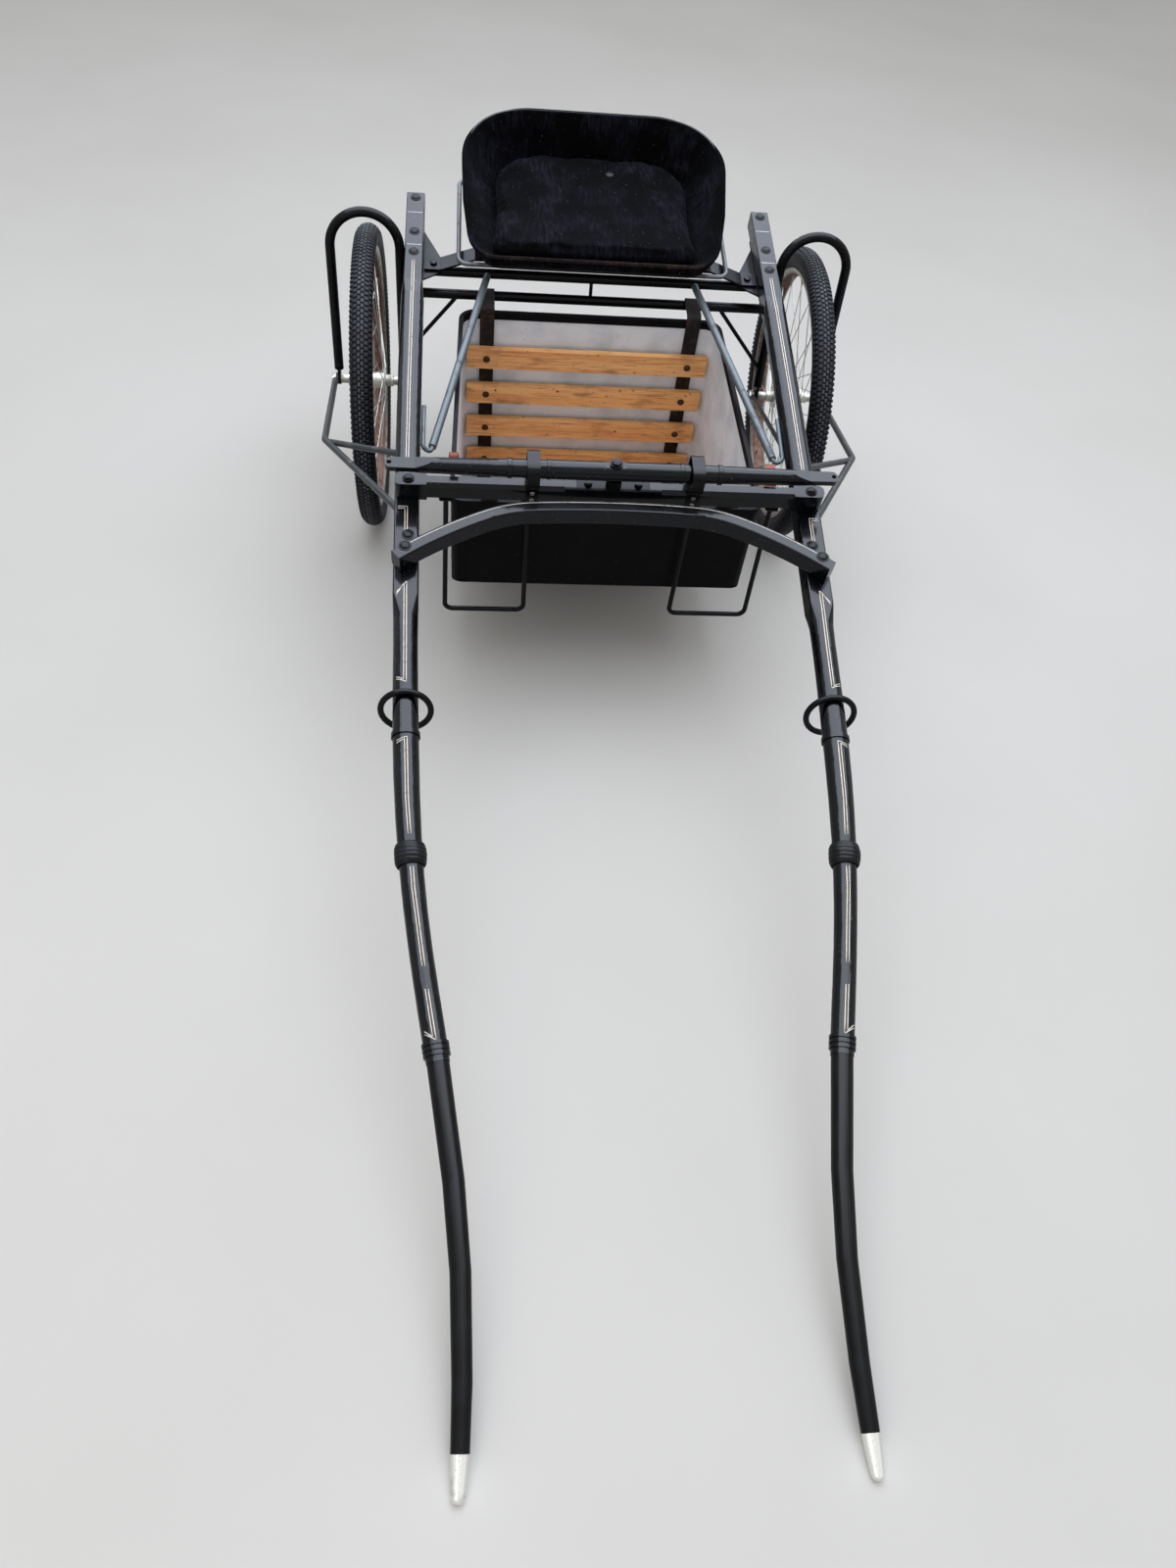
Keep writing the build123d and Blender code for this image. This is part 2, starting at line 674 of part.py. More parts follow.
PIVOT_W = BAR_TOP + TREE_LIFT + TREE_R
with BuildPart() as pivot:
    with BuildSketch(level(BAR_TOP - PLATE_T, BAR_V)):
        Rectangle(2 * PLATE_HALF, BAR_DEPTH)
    extrude(amount=PLATE_T)
    with BuildSketch(level(BAR_TOP - PLATE_T, BAR_V)):
        Circle(PIVOT_BOSS_R)
    extrude(amount=PIVOT_W - TREE_FLAT - SEAT_GAP - BAR_TOP + PLATE_T)
    with BuildSketch(level(BAR_TOP, BAR_V)):
        Circle(PIVOT_R)
    extrude(amount=PIVOT_W + TREE_R - BAR_TOP)
    with BuildSketch(level(PIVOT_W + TREE_FLAT + SEAT_GAP, BAR_V)):
        Circle(PIVOT_HEAD_R)
    extrude(amount=PIVOT_HEAD_T)
pivot.part.label = "singletree_pivot"

with BuildPart() as singletree:
    tree_plane = across(BAR_V, PIVOT_W)
    taper_x = TREE_BEADS[1] + 20
    with BuildSketch(tree_plane):
        with BuildLine():
            Polyline(
                (-TREE_HALF, 0),
                (-TREE_HALF, TREE_END_R),
                (-taper_x, TREE_R - 1.5),
                (-TREE_BEADS[0] + 14, TREE_R),
                (TREE_BEADS[0] - 14, TREE_R),
                (taper_x, TREE_R - 1.5),
                (TREE_HALF, TREE_END_R),
                (TREE_HALF, 0),
                close=True,
            )
        make_face()
        with Locations(*[(turn * bead, TREE_R / 2) for bead in TREE_BEADS for turn in (-1, 1)]):
            RectangleRounded(9, TREE_R + 1.5, 1.5)
        Rectangle(3 * TREE_HALF, 2 * TREE_R, align=(Align.CENTER, Align.MAX), mode=Mode.SUBTRACT)
    revolve(axis=Axis(tree_plane.origin, (1, 0, 0)))
    # tongue ends rounded in plan, flattened above and below, each with its trace hole
    with BuildSketch(level(PIVOT_W, BAR_V)):
        SlotOverall(2 * TREE_HALF, 2 * TREE_END_R)
        Rectangle(2 * (TREE_HALF - TREE_RAMP), 4 * TREE_R)
    extrude(amount=2 * TREE_R, both=True, mode=Mode.INTERSECT)
    for lift in (-1, 1):
        with BuildSketch(tree_plane):
            for side in SIDES.values():
                with BuildLine():
                    Polyline(
                        (side * (TREE_HALF + 5), lift * TREE_TONGUE_T / 2),
                        (side * TREE_TONGUE_X, lift * TREE_TONGUE_T / 2),
                        (side * (TREE_TONGUE_X - TREE_RAMP), lift * 1.2 * TREE_R),
                        (side * (TREE_HALF + 5), lift * 1.2 * TREE_R),
                        close=True,
                    )
                make_face()
            with Locations((0, lift * (TREE_FLAT + TREE_R / 2))):
                Rectangle(2 * TREE_FLAT_HALF, TREE_R)
        extrude(amount=2 * TREE_R, both=True, mode=Mode.SUBTRACT)
    with BuildSketch(level(PIVOT_W, BAR_V)):
        Circle(PIVOT_R + RUN_GAP)
        with Locations((-TREE_HOLE_X, 0), (TREE_HOLE_X, 0)):
            Circle(TREE_HOLE_R)
    extrude(amount=2 * TREE_R, both=True, mode=Mode.SUBTRACT)
singletree.part.label = "singletree"

# bow ahead of the crossbar: one bent bar, three arcs a side, its ends over the shafts
BOW_LOW = line_at(BOW_SEAT_V)[1] + size_at(BOW_SEAT_V)[1] / 2 + SEAT_GAP
with BuildPart() as bow:
    with BuildLine() as bow_line:
        x, v, heading = 0.0, BOW_V, 0.0
        for radius, turn in BOW_ARCS:
            points = [(x, v)]
            for share in (0.5, 1):
                angle = heading + math.radians(turn) * share
                out = x + radius * (math.sin(angle) - math.sin(heading))
                ahead = v - radius * (math.cos(heading) - math.cos(angle))
                points.append((out, ahead))
            for side in SIDES.values():
                ThreePointArc(*[cart(side * px, pv, BOW_LOW + BOW_H / 2) for px, pv in points])
            x, v, heading = out, ahead, angle
    bow_wire = bow_line.wires()[0]
    with BuildSketch(Plane(origin=bow_wire @ 0, x_dir=cart_way(0, 0, 1), z_dir=bow_wire % 0)):
        RectangleRounded(BOW_H, BOW_W, BOW_EDGE_R)
    sweep(path=bow_wire)
bow.part.label = "shaft_bow"

for name, side in SIDES.items():
    # leather keeper over the singletree, its legs screwed to the crossbar
    swing = STRAP_X * math.tan(math.radians(TREE_SWING))
    wide = TREE_R + FREE_GAP + swing
    snug = BAR_DEPTH / 2 + SEAT_GAP
    top = PIVOT_W + TREE_R + FREE_GAP
    with BuildPart() as strap:
        outside = (STRAP_T, STRAP_W, BAR_LOW + STRAP_HEM, Mode.ADD)
        inside = (0, 2 * STRAP_W, BAR_LOW, Mode.SUBTRACT)
        for spread, amount, low, mode in (outside, inside):
            with BuildSketch(beside(side * STRAP_X, BAR_V)) as loop:
                with BuildLine():
                    Polyline(
                        (-snug - spread, low),
                        (snug + spread, low),
                        (snug + spread, BAR_TOP),
                        (wide + spread, BAR_TOP + TREE_LIFT),
                        (wide + spread, top + spread),
                        (-wide - spread, top + spread),
                        (-wide - spread, BAR_TOP + TREE_LIFT),
                        (-snug - spread, BAR_TOP),
                        close=True,
                    )
                make_face()
                fillet(loop.vertices().sort_by(Axis.Y)[-2:], STRAP_BEND_R + spread)
            extrude(amount=amount / 2, both=True, mode=mode)
    strap.part.label = f"singletree_strap_{name}"
    export_step(strap.part, f"parts/{strap.part.label}.step")

    # foot stirrup: a bent rod below the crossbar, with a screwed pad at each end
    top_w = BAR_LOW - SEAT_GAP - STIRRUP_PAD_T
    low_w = top_w - STIRRUP_DROP
    low_v = BAR_V - STIRRUP_SWAY
    with BuildPart() as stirrup:
        corners = [
            cart(side * STIRRUP_OUT[0], BAR_V, top_w + 1),
            cart(side * STIRRUP_OUT[1], low_v, low_w),
            cart(side * STIRRUP_IN[1], low_v, low_w),
            cart(side * STIRRUP_IN[0], BAR_V, top_w + 1),
        ]
        with BuildLine() as stirrup_line:
            rod_path(corners, [STIRRUP_CORNER] * 2)
        with BuildSketch(end_plane(corners[0], corners[1])):
            Circle(STIRRUP_R)
        sweep(path=stirrup_line.wires()[0])
        for x in (STIRRUP_OUT[0], STIRRUP_IN[0]):
            with BuildSketch(level(top_w, BAR_V)):
                with Locations((side * x, 0)):
                    RectangleRounded(STIRRUP_PAD, STIRRUP_PAD, 4)
            extrude(amount=STIRRUP_PAD_T)
    stirrup.part.label = f"stirrup_{name}"
    export_step(stirrup.part, f"parts/{stirrup.part.label}.step")

for piece in (crossbar, pivot, singletree, bow):
    export_step(piece.part, f"parts/{piece.part.label}.step")

# foot basket
RISE = math.radians(BASKET_RISE)
BASKET = Plane(
    origin=cart(0, BASKET_V, BASKET_W),
    x_dir=(1, 0, 0),
    z_dir=cart_way(0, math.sin(RISE), math.cos(RISE)),
)
BASKET_SIDE = Plane(origin=BASKET.origin, x_dir=BASKET.y_dir, z_dir=(1, 0, 0))
FLOOR_SLOPE = (BASKET_REAR_DEPTH - BASKET_FRONT_DEPTH) / BASKET_LENGTH
FLOOR_ANGLE = math.atan(FLOOR_SLOPE)


def plan_outline(inset):
    """Corner points of the basket seen from above, drawn in by the inset."""
    return [
        (-BASKET_REAR_HALF + inset, -inset),
        (-BASKET_FRONT_HALF + inset, -BASKET_LENGTH + inset),
        (BASKET_FRONT_HALF - inset, -BASKET_LENGTH + inset),
        (BASKET_REAR_HALF - inset, -inset),
    ]


def basket_prism(inset, top, low):
    """Upright prism of the basket's plan between two levels of its own frame."""
    with BuildPart() as prism:
        with BuildSketch(BASKET.offset(low)) as plan:
            with BuildLine():
                Polyline(*plan_outline(inset), close=True)
            make_face()
            rear = plan.vertices().sort_by(Axis.Y)[-2:]
            fillet(rear, BASKET_REAR_CORNER - inset)
            front = plan.vertices().sort_by(Axis.Y)[:2]
            fillet(front, BASKET_FRONT_CORNER - inset)
        extrude(amount=top - low)
    return prism.part


def basket_body(inset, top):
    """Basket solid with its sloping floor, drawn in by the inset."""
    lift = inset / math.cos(FLOOR_ANGLE)
    rear_low = -BASKET_REAR_DEPTH + inset * FLOOR_SLOPE + lift
    front_low = -BASKET_FRONT_DEPTH - inset * FLOOR_SLOPE + lift
    prism = basket_prism(inset, top, -2 * BASKET_REAR_DEPTH)
    with BuildPart() as body:
        add(prism)
        with BuildSketch(BASKET_SIDE):
            with BuildLine():
                Polyline(
                    (-inset, BASKET_REAR_DEPTH),
                    (-inset, rear_low),
                    (-BASKET_LENGTH + inset, front_low),
                    (-BASKET_LENGTH + inset, BASKET_REAR_DEPTH),
                    close=True,
                )
            make_face()
        extrude(amount=2 * BASKET_FRONT_HALF, both=True, mode=Mode.INTERSECT)
    return body.part


sheet_outside = basket_body(0, -BINDING_H)
sheet_inside = basket_body(SHEET_T, BINDING_H)
with BuildPart() as basket:
    add(sheet_outside)
    add(sheet_inside, mode=Mode.SUBTRACT)
basket.part.label = "basket_shell"

spread = (BINDING_W - SHEET_T) / 2
binding_outside = basket_prism(-spread, 0, -BINDING_H)
binding_inside = basket_prism(SHEET_T + spread, BINDING_H, -2 * BINDING_H)
with BuildPart() as binding:
    add(binding_outside)
    add(binding_inside, mode=Mode.SUBTRACT)
binding.part.label = "basket_binding"

# the two bent irons that carry the basket and its slats
IRON_IN = SHEET_T + (BINDING_W - SHEET_T) / 2 + SEAT_GAP + IRON_T / 2
IRON_LIFT = SEAT_GAP + IRON_T / 2
CROSS_LOW = BASKET.to_local_coords(fork(0, LOWER_TUBE_H))
BAR_UNDER = BASKET.to_local_coords(cart(0, BAR_REAR_V, BAR_LOW))
HANG_Y = -BASKET_LENGTH + IRON_IN
HANG_Z = BAR_UNDER.Z - IRON_LIFT / math.cos(RISE) + (HANG_Y - BAR_UNDER.Y) * math.tan(RISE)
FLOOR_RISE = SHEET_T / math.cos(FLOOR_ANGLE) + IRON_LIFT / math.cos(FLOOR_ANGLE)
HEEL_Z = -BASKET_REAR_DEPTH + FLOOR_RISE + IRON_IN * FLOOR_SLOPE
IRON_TOP_Z = CROSS_LOW.Z + TUBE_R + IRON_LIFT
IRON_PLACES = [
    (CROSS_LOW.Y + 4, IRON_TOP_Z),
    (-IRON_IN, IRON_TOP_Z),
    (-IRON_IN, HEEL_Z),
    (HANG_Y, -BASKET_FRONT_DEPTH + FLOOR_RISE - IRON_IN * FLOOR_SLOPE),
    (HANG_Y, HANG_Z),
    (HANG_Y - IRON_HOOK, HANG_Z - IRON_HOOK * math.tan(RISE)),
]
IRON_RADII = [
    IRON_BEND_R,
    IRON_HEEL_R,
    IRON_TOE_R,
    IRON_BEND_R,
]


def basket_place(x, y, z):
    """World place of a point of the basket's frame."""
    return BASKET.from_local_coords(Vector(x, y, z))


with BuildPart() as irons:
    for side in SIDES.values():
        with BuildLine() as iron_line:
            places = [basket_place(side * IRON_X, y, z) for y, z in IRON_PLACES]
            rod_path(places, IRON_RADII)
        with BuildSketch(end_plane(places[0], places[1], x_dir=(1, 0, 0))):
            Rectangle(IRON_W, IRON_T)
        sweep(path=iron_line.wires()[0])
irons.part.label = "basket_irons"

SLAT_LIFT = IRON_T / 2 + SEAT_GAP
with BuildPart() as back_slats:
    for number in range(BACK_SLATS):
        height = IRON_TOP_Z - BACK_FIRST - number * SLAT_PITCH
        origin = basket_place(0, -IRON_IN - SLAT_LIFT, height)
        inward = basket_place(0, -1, 0) - basket_place(0, 0, 0)
        with BuildSketch(Plane(origin=origin, x_dir=(1, 0, 0), z_dir=inward)):
            RectangleRounded(SLAT_LENGTH, SLAT_W, 3)
        extrude(amount=SLAT_T)
back_slats.part.label = "basket_back_slats"

with BuildPart() as floor_slats:
    for number in range(FLOOR_SLATS):
        run = FLOOR_FIRST + number * SLAT_PITCH
        y = -IRON_IN - run * math.cos(FLOOR_ANGLE) - SLAT_LIFT * math.sin(FLOOR_ANGLE)
        z = HEEL_Z + run * math.sin(FLOOR_ANGLE) - SLAT_LIFT * math.cos(FLOOR_ANGLE)
        lift = basket_place(0, math.sin(FLOOR_ANGLE), math.cos(FLOOR_ANGLE)) - basket_place(0, 0, 0)
        origin = basket_place(0, y, z) + lift * (2 * SLAT_LIFT)
        with BuildSketch(Plane(origin=origin, x_dir=(1, 0, 0), z_dir=lift)):
            RectangleRounded(SLAT_LENGTH, SLAT_W, 3)
        extrude(amount=SLAT_T)
floor_slats.part.label = "basket_floor_slats"

for piece in (basket, binding, irons, back_slats, floor_slats):
    export_step(piece.part, f"parts/{piece.part.label}.step")

# leaf spring and seat
LEAF_LOW = UPPER_TUBE_W + TUBE_R + GUSSET_T + 2 * SEAT_GAP
LEAF_TOP = LEAF_LOW + LEAF_RISE + LEAF_T
with BuildPart() as leaf:
    with BuildSketch(across(UPPER_TUBE_V)):
        with BuildLine():
            Polyline(
                (-LEAF_END_X, LEAF_LOW),
                (-LEAF_EYE_X, LEAF_LOW),
                (-LEAF_CROWN_X, LEAF_LOW + LEAF_RISE),
                (LEAF_CROWN_X, LEAF_LOW + LEAF_RISE),
                (LEAF_EYE_X, LEAF_LOW),
                (LEAF_END_X, LEAF_LOW),
                (LEAF_END_X, LEAF_LOW + LEAF_T),
                (LEAF_EYE_X, LEAF_LOW + LEAF_T),
                (LEAF_CROWN_X, LEAF_TOP),
                (-LEAF_CROWN_X, LEAF_TOP),
                (-LEAF_EYE_X, LEAF_LOW + LEAF_T),
                (-LEAF_END_X, LEAF_LOW + LEAF_T),
                close=True,
            )
        make_face()
    extrude(amount=LEAF_W / 2, both=True)
leaf.part.label = "leaf_spring"

PAN_LOW = LEAF_TOP + SEAT_GAP


def seat_outline(height):
    """Half width, depth and corner radii of the seat at a height above its underside."""
    for low, high in zip(PAN_SECTIONS, PAN_SECTIONS[1:]):
        if height <= high[0]:
            break
    share = (height - low[0]) / (high[0] - low[0])
    return [first + share * (last - first) for first, last in zip(low[1:], high[1:])]


def seat_body(inset, low, high):
    """Flared rounded-D solid of the seat, drawn in by the inset, between two heights."""
    heights = [low] + [row[0] for row in PAN_SECTIONS if low + 2 < row[0] < high - 2] + [high]
    with BuildPart() as body:
        for height in heights:
            half, depth, front_r, back_r = seat_outline(height)
            half -= inset
            depth -= 2 * inset
            with BuildSketch(level(PAN_LOW + height, PAN_FRONT_V + inset)) as outline:
                with BuildLine():
                    Polyline((-half, 0), (half, 0), (half, depth), (-half, depth), close=True)
                make_face()
                fillet(outline.vertices().sort_by(Axis.Y)[-2:], back_r - inset)
                fillet(outline.vertices().sort_by(Axis.Y)[:2], front_r - inset)
        loft(ruled=True)
    return body.part


def seat_trim(rise):
    """Solid below the seat's sweeping side edge."""
    edge = [(PAN_FRONT_V + run, PAN_LOW + height + rise) for run, height in PAN_EDGE]
    with BuildPart() as trim:
        with BuildSketch(beside(0)):
            with BuildLine():
                Spline(*edge)
                Polyline(
                    edge[-1],
                    (edge[-1][0], PAN_LOW - 40),
                    (edge[0][0], PAN_LOW - 40),
                    edge[0],
                )
            make_face()
        extrude(amount=2 * RAIL_X, both=True)
    return trim.part


pan_outside = seat_body(0, 0, RIM_H)
pan_inside = seat_body(PAN_T, PAN_T, RIM_H + PAN_T)
pan_trim = seat_trim(0)
with BuildPart() as pan:
    add(pan_outside)
    add(pan_inside, mode=Mode.SUBTRACT)
    add(pan_trim, mode=Mode.INTERSECT)
pan.part.label = "seat_pan"

lining = PAN_T + COVER_GAP
cover_outside = seat_body(lining, lining, RIM_H)
cover_inside = seat_body(lining + COVER_WALL, lining + PAD_T, RIM_H + PAN_T)
cover_trim = seat_trim(COVER_RISE)
pad_low = lining + PAD_T - PAD_RISE
raised_pad = seat_body(lining + COVER_WALL + PAD_MARGIN, pad_low, pad_low + 2 * PAD_RISE)
with BuildPart() as cushion:
    add(cover_outside)
    add(cover_inside, mode=Mode.SUBTRACT)
    add(cover_trim, mode=Mode.INTERSECT)
    add(raised_pad)
cushion.part.label = "seat_cushion"

for piece in (leaf, pan, cushion):
    export_step(piece.part, f"parts/{piece.part.label}.step")

for name, side in SIDES.items():
    # bent rod beside the seat, both ends turned in under it
    rail_w = PAN_LOW - SEAT_GAP - RAIL_R
    with BuildPart() as rail:
        places = [
            cart(side * RAIL_END_X, RAIL_FRONT_V, rail_w),
            cart(side * RAIL_X, RAIL_FRONT_V, rail_w),
            cart(side * RAIL_X, RAIL_REAR_V, rail_w),
            cart(side * RAIL_END_X, RAIL_REAR_V, rail_w),
        ]
        with BuildLine() as rail_line:
            rod_path(places, [RAIL_BEND_R] * 2)
        with BuildSketch(end_plane(places[0], places[1])):
            Circle(RAIL_R)
        sweep(path=rail_line.wires()[0])
    rail.part.label = f"seat_rail_{name}"
    export_step(rail.part, f"parts/{rail.part.label}.step")

    # strut from the upper cross tube forward to the shaft, ending in a hooked rod
    end_x, end_v = STRUT_END
    shaft_x, shaft_w = line_at(end_v)
    hook_x = shaft_x - size_at(end_v)[0] / 2 - HOOK_R - SEAT_GAP
    top = fork(side * STRUT_TOP_X, UPPER_TUBE_H)
    low = cart(side * end_x, end_v, shaft_w - STRUT_DROP)
    with BuildPart() as strut:
        with Locations(end_plane(top, low)):
            Cylinder(STRUT_R, (low - top).length, align=(Align.CENTER, Align.CENTER, Align.MIN))
        ahead = low + (low - top).normalized() * 26
        places = [
            low - (low - top).normalized() * 4,
            ahead,
            cart(side * hook_x, end_v - 6, shaft_w - 6),
            cart(side * hook_x, end_v + HOOK_LENGTH, shaft_w),
        ]
        with BuildLine() as hook_line:
            rod_path(places, [HOOK_BEND_R] * 2)
        with BuildSketch(end_plane(places[0], places[1])):
            Circle(HOOK_R)
        sweep(path=hook_line.wires()[0])
        with Locations(Plane(origin=fork(0, UPPER_TUBE_H), z_dir=(1, 0, 0))):
            Cylinder(TUBE_R + SEAT_GAP, 2 * WHEEL_X, mode=Mode.SUBTRACT)
    strut.part.label = f"seat_strut_{name}"
    export_step(strut.part, f"parts/{strut.part.label}.step")

    # wheel guard: a bent rod outside the wheel with a brace back to the shaft
    eye_x = WHEEL_X + ARCH_HALF + DROPOUT_T / 2 + SEAT_GAP
    front_x, front_w = line_at(GUARD_FRONT_V)
    brace_x, brace_w = line_at(GUARD_BRACE_V)
    front_face = front_x + size_at(GUARD_FRONT_V)[0] / 2 + 2 * SEAT_GAP
    brace_face = brace_x + size_at(GUARD_BRACE_V)[0] / 2 + 2 * SEAT_GAP
    with BuildPart() as guard:
        with BuildSketch(Plane(origin=cart(side * eye_x, 0, 0), x_dir=cart_way(0, 1, 0), z_dir=(side, 0, 0))):
            Circle(EYE_R)
            Circle(AXLE_R + RUN_GAP, mode=Mode.SUBTRACT)
        extrude(amount=EYE_T)
        bend = cart(side * GUARD_BEND[0], GUARD_BEND[1], GUARD_BEND[2])
        hub_side = cart(side * (eye_x + GUARD_R), 0, 0)
        start = hub_side + (bend - hub_side).normalized() * (EYE_R - 2)
        places = [start, bend, cart(side * (front_face - 8), GUARD_FRONT_V - 4, front_w)]
        with BuildLine() as guard_line:
            rod_path(places, [GUARD_BEND_R])
        with BuildSketch(end_plane(places[0], places[1])):
            Circle(GUARD_R)
        sweep(path=guard_line.wires()[0])
        root = cart(side * (GUARD_BEND[0] - 8), GUARD_BEND[1] - 8, GUARD_BEND[2] + 2)
        inner = cart(side * (brace_face - 8), GUARD_BRACE_V - 2, brace_w)
        with Locations(end_plane(root, inner)):
            Cylinder(GUARD_R - 0.5, (inner - root).length, align=(Align.CENTER, Align.CENTER, Align.MIN))
        for face, v in ((front_face, GUARD_FRONT_V), (brace_face, GUARD_BRACE_V)):
            with BuildSketch(level(0, v)):
                with Locations((side * face, 0)):
                    Rectangle(60, 80, align=(Align.MAX if side > 0 else Align.MIN, Align.CENTER))
            extrude(amount=2 * SHAFT_W, mode=Mode.SUBTRACT)
    guard.part.label = f"wheel_guard_{name}"
    export_step(guard.part, f"parts/{guard.part.label}.step")

    # stay from the inner end of the axle forward to the underside of the shaft
    stay_x = WHEEL_X - ARCH_HALF - DROPOUT_T / 2 - SEAT_GAP
    under_x, under_w = line_at(STAY_V)
    under = under_w - size_at(STAY_V)[1] / 2 - SEAT_GAP
    with BuildPart() as stay:
        with BuildSketch(Plane(origin=cart(side * stay_x, 0, 0), x_dir=cart_way(0, -1, 0), z_dir=(-side, 0, 0))):
            Circle(EYE_R)
            Circle(AXLE_R + RUN_GAP, mode=Mode.SUBTRACT)
        extrude(amount=EYE_T)
        foot = cart(side * (stay_x - STAY_R), 0, 0)
        head = cart(side * under_x, STAY_V, under + 6)
        start = foot + (head - foot).normalized() * (EYE_R - 2)
        with Locations(end_plane(start, head)):
            Cylinder(STAY_R, (head - start).length, align=(Align.CENTER, Align.CENTER, Align.MIN))
        with BuildSketch(level(under, STAY_V)):
            with Locations((side * under_x, 0)):
                Rectangle(80, 120)
        extrude(amount=60, mode=Mode.SUBTRACT)
        with BuildSketch(Plane(origin=cart(side * stay_x, 0, 0), x_dir=cart_way(0, -1, 0), z_dir=(-side, 0, 0))):
            Circle(AXLE_R + RUN_GAP)
        extrude(amount=30, both=True, mode=Mode.SUBTRACT)
    stay.part.label = f"axle_stay_{name}"
    export_step(stay.part, f"parts/{stay.part.label}.step")
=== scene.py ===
# %% [markdown]
# A light two-wheeled horse cart, parked on its wheels and on the tips of its shafts.
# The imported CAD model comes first: every wooden bar, rod and wheel is already there at its
# real size. This script gives each of them its finish and adds what only shows up close:
# stripes, bolts, tyre tread, the cloth of the seat and the lining of the foot basket.

# %% Load the frame
import json
import math
import bpy
from mathutils import Matrix, Vector, noise

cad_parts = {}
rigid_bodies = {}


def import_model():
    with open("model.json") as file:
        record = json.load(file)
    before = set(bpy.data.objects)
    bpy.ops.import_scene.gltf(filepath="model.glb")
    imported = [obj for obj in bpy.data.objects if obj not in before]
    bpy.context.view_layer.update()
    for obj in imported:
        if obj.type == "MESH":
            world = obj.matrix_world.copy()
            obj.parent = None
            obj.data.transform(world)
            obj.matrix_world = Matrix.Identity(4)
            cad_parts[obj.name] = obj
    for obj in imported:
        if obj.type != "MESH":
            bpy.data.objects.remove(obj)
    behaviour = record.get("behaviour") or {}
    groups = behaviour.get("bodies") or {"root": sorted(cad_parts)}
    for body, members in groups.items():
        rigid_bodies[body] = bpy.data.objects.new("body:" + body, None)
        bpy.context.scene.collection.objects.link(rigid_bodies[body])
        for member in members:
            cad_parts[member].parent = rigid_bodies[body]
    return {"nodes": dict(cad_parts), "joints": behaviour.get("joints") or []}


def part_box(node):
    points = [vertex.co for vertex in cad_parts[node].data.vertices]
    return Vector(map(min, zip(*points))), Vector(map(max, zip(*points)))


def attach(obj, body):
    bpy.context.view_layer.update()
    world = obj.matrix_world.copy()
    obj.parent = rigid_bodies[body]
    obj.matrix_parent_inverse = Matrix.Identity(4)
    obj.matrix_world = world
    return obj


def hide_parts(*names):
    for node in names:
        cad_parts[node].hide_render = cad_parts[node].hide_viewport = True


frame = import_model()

for starter in [obj for obj in bpy.data.objects if obj.name in ("Cube", "Light", "Camera")]:
    bpy.data.objects.remove(starter)
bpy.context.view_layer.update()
CAD = frame["nodes"]
JOINTS = {joint["name"]: joint for joint in frame["joints"]}
SIDES = {"left": -1, "right": 1}
MM = 0.001
print("pieces in the frame:", len(CAD))

# %% [markdown]
# The cart leans forward on its shafts, so nearly every piece is set square to the shafts and
# not to the floor. All places below are therefore given in the cart's own tilted frame: x
# across, v rearward from the axle line, w square to the shafts, in millimetres. One function
# turns them into places in the scene.

# %% The cart's tilted frame
SPIN_PLACE = JOINTS["wheel_right_spin"]["pos_m"]
SWING_AXIS = JOINTS["singletree_swing"]["axis"]
TILT = math.atan2(-SWING_AXIS[1], SWING_AXIS[2])
UP = Vector((0, -math.sin(TILT), math.cos(TILT)))
REARWARD = Vector((0, math.cos(TILT), math.sin(TILT)))
AXLE = Vector((0, SPIN_PLACE[1], SPIN_PLACE[2]))
WHEEL_CENTRES = {side: Vector(JOINTS[f"wheel_{side}_spin"]["pos_m"]) for side in SIDES}


def cart(x, v, w):
    """Scene place of a point of the cart's frame, given in millimetres."""
    return AXLE + Vector((x, 0, 0)) * MM + REARWARD * (v * MM) + UP * (w * MM)


print("tilt in degrees:", round(math.degrees(TILT), 2), "axle line at", tuple(AXLE))

# %% [markdown]
# The shafts and the bow are bent wood. Stripes and bolts have to lie on them exactly, so
# instead of repeating their curves, a ray is shot down onto the finished piece and the place
# that it hits is used. These few values say where each shaft runs.

# %% Shaft line and rays
# place along the shaft, distance from the middle, both in mm
SHAFT_LINE = [
    (255, 394), (-34, 394), (-340, 393), (-650, 390), (-857, 386), (-1065, 381), (-1273, 372),
    (-1430, 358), (-1588, 335), (-1740, 309), (-1878, 290), (-2002, 279), (-2140, 276),
    (-2224, 278),
]
RAY_START_W = 600.0


def shaft_x(v):
    """Distance of a shaft's centre line from the middle, in mm."""
    for (near_v, near_x), (far_v, far_x) in zip(SHAFT_LINE, SHAFT_LINE[1:]):
        if v >= far_v:
            return near_x + (near_v - v) / (near_v - far_v) * (far_x - near_x)
    return SHAFT_LINE[-1][1]


def on_top(node, x, v, above=0.0):
    """Highest place of a node at x and v, and the surface's direction there."""
    found, place, way, _ = CAD[node].ray_cast(cart(x, v, RAY_START_W), -UP)
    if not found:
        raise RuntimeError(f"no surface of {node} at x {x} v {v}")
    return place + way * (above * MM), way


print("top of the crossbar:", tuple(round(c, 3) for c in on_top("crossbar", 300, -633)[0]))

# %% [markdown]
# Every finish is one Principled shader whose colour, roughness and relief come from a few nodes.
# One small function adds a node with its settings and its links. Colours are written as the
# sRGB hex values that a paint chart would give, and another function turns them into linear
# light. Most wear, dust and rust is the same pattern at its own size: noise between two
# thresholds, which gives patches with soft rims.

# %% Material helpers
def linear(code):
    """Linear colour of an sRGB hex value."""
    parts = [int(code[i:i + 2], 16) / 255 for i in (0, 2, 4)]
    light = [c / 12.92 if c <= 0.04045 else ((c + 0.055) / 1.055) ** 2.4 for c in parts]
    return (*light, 1.0)


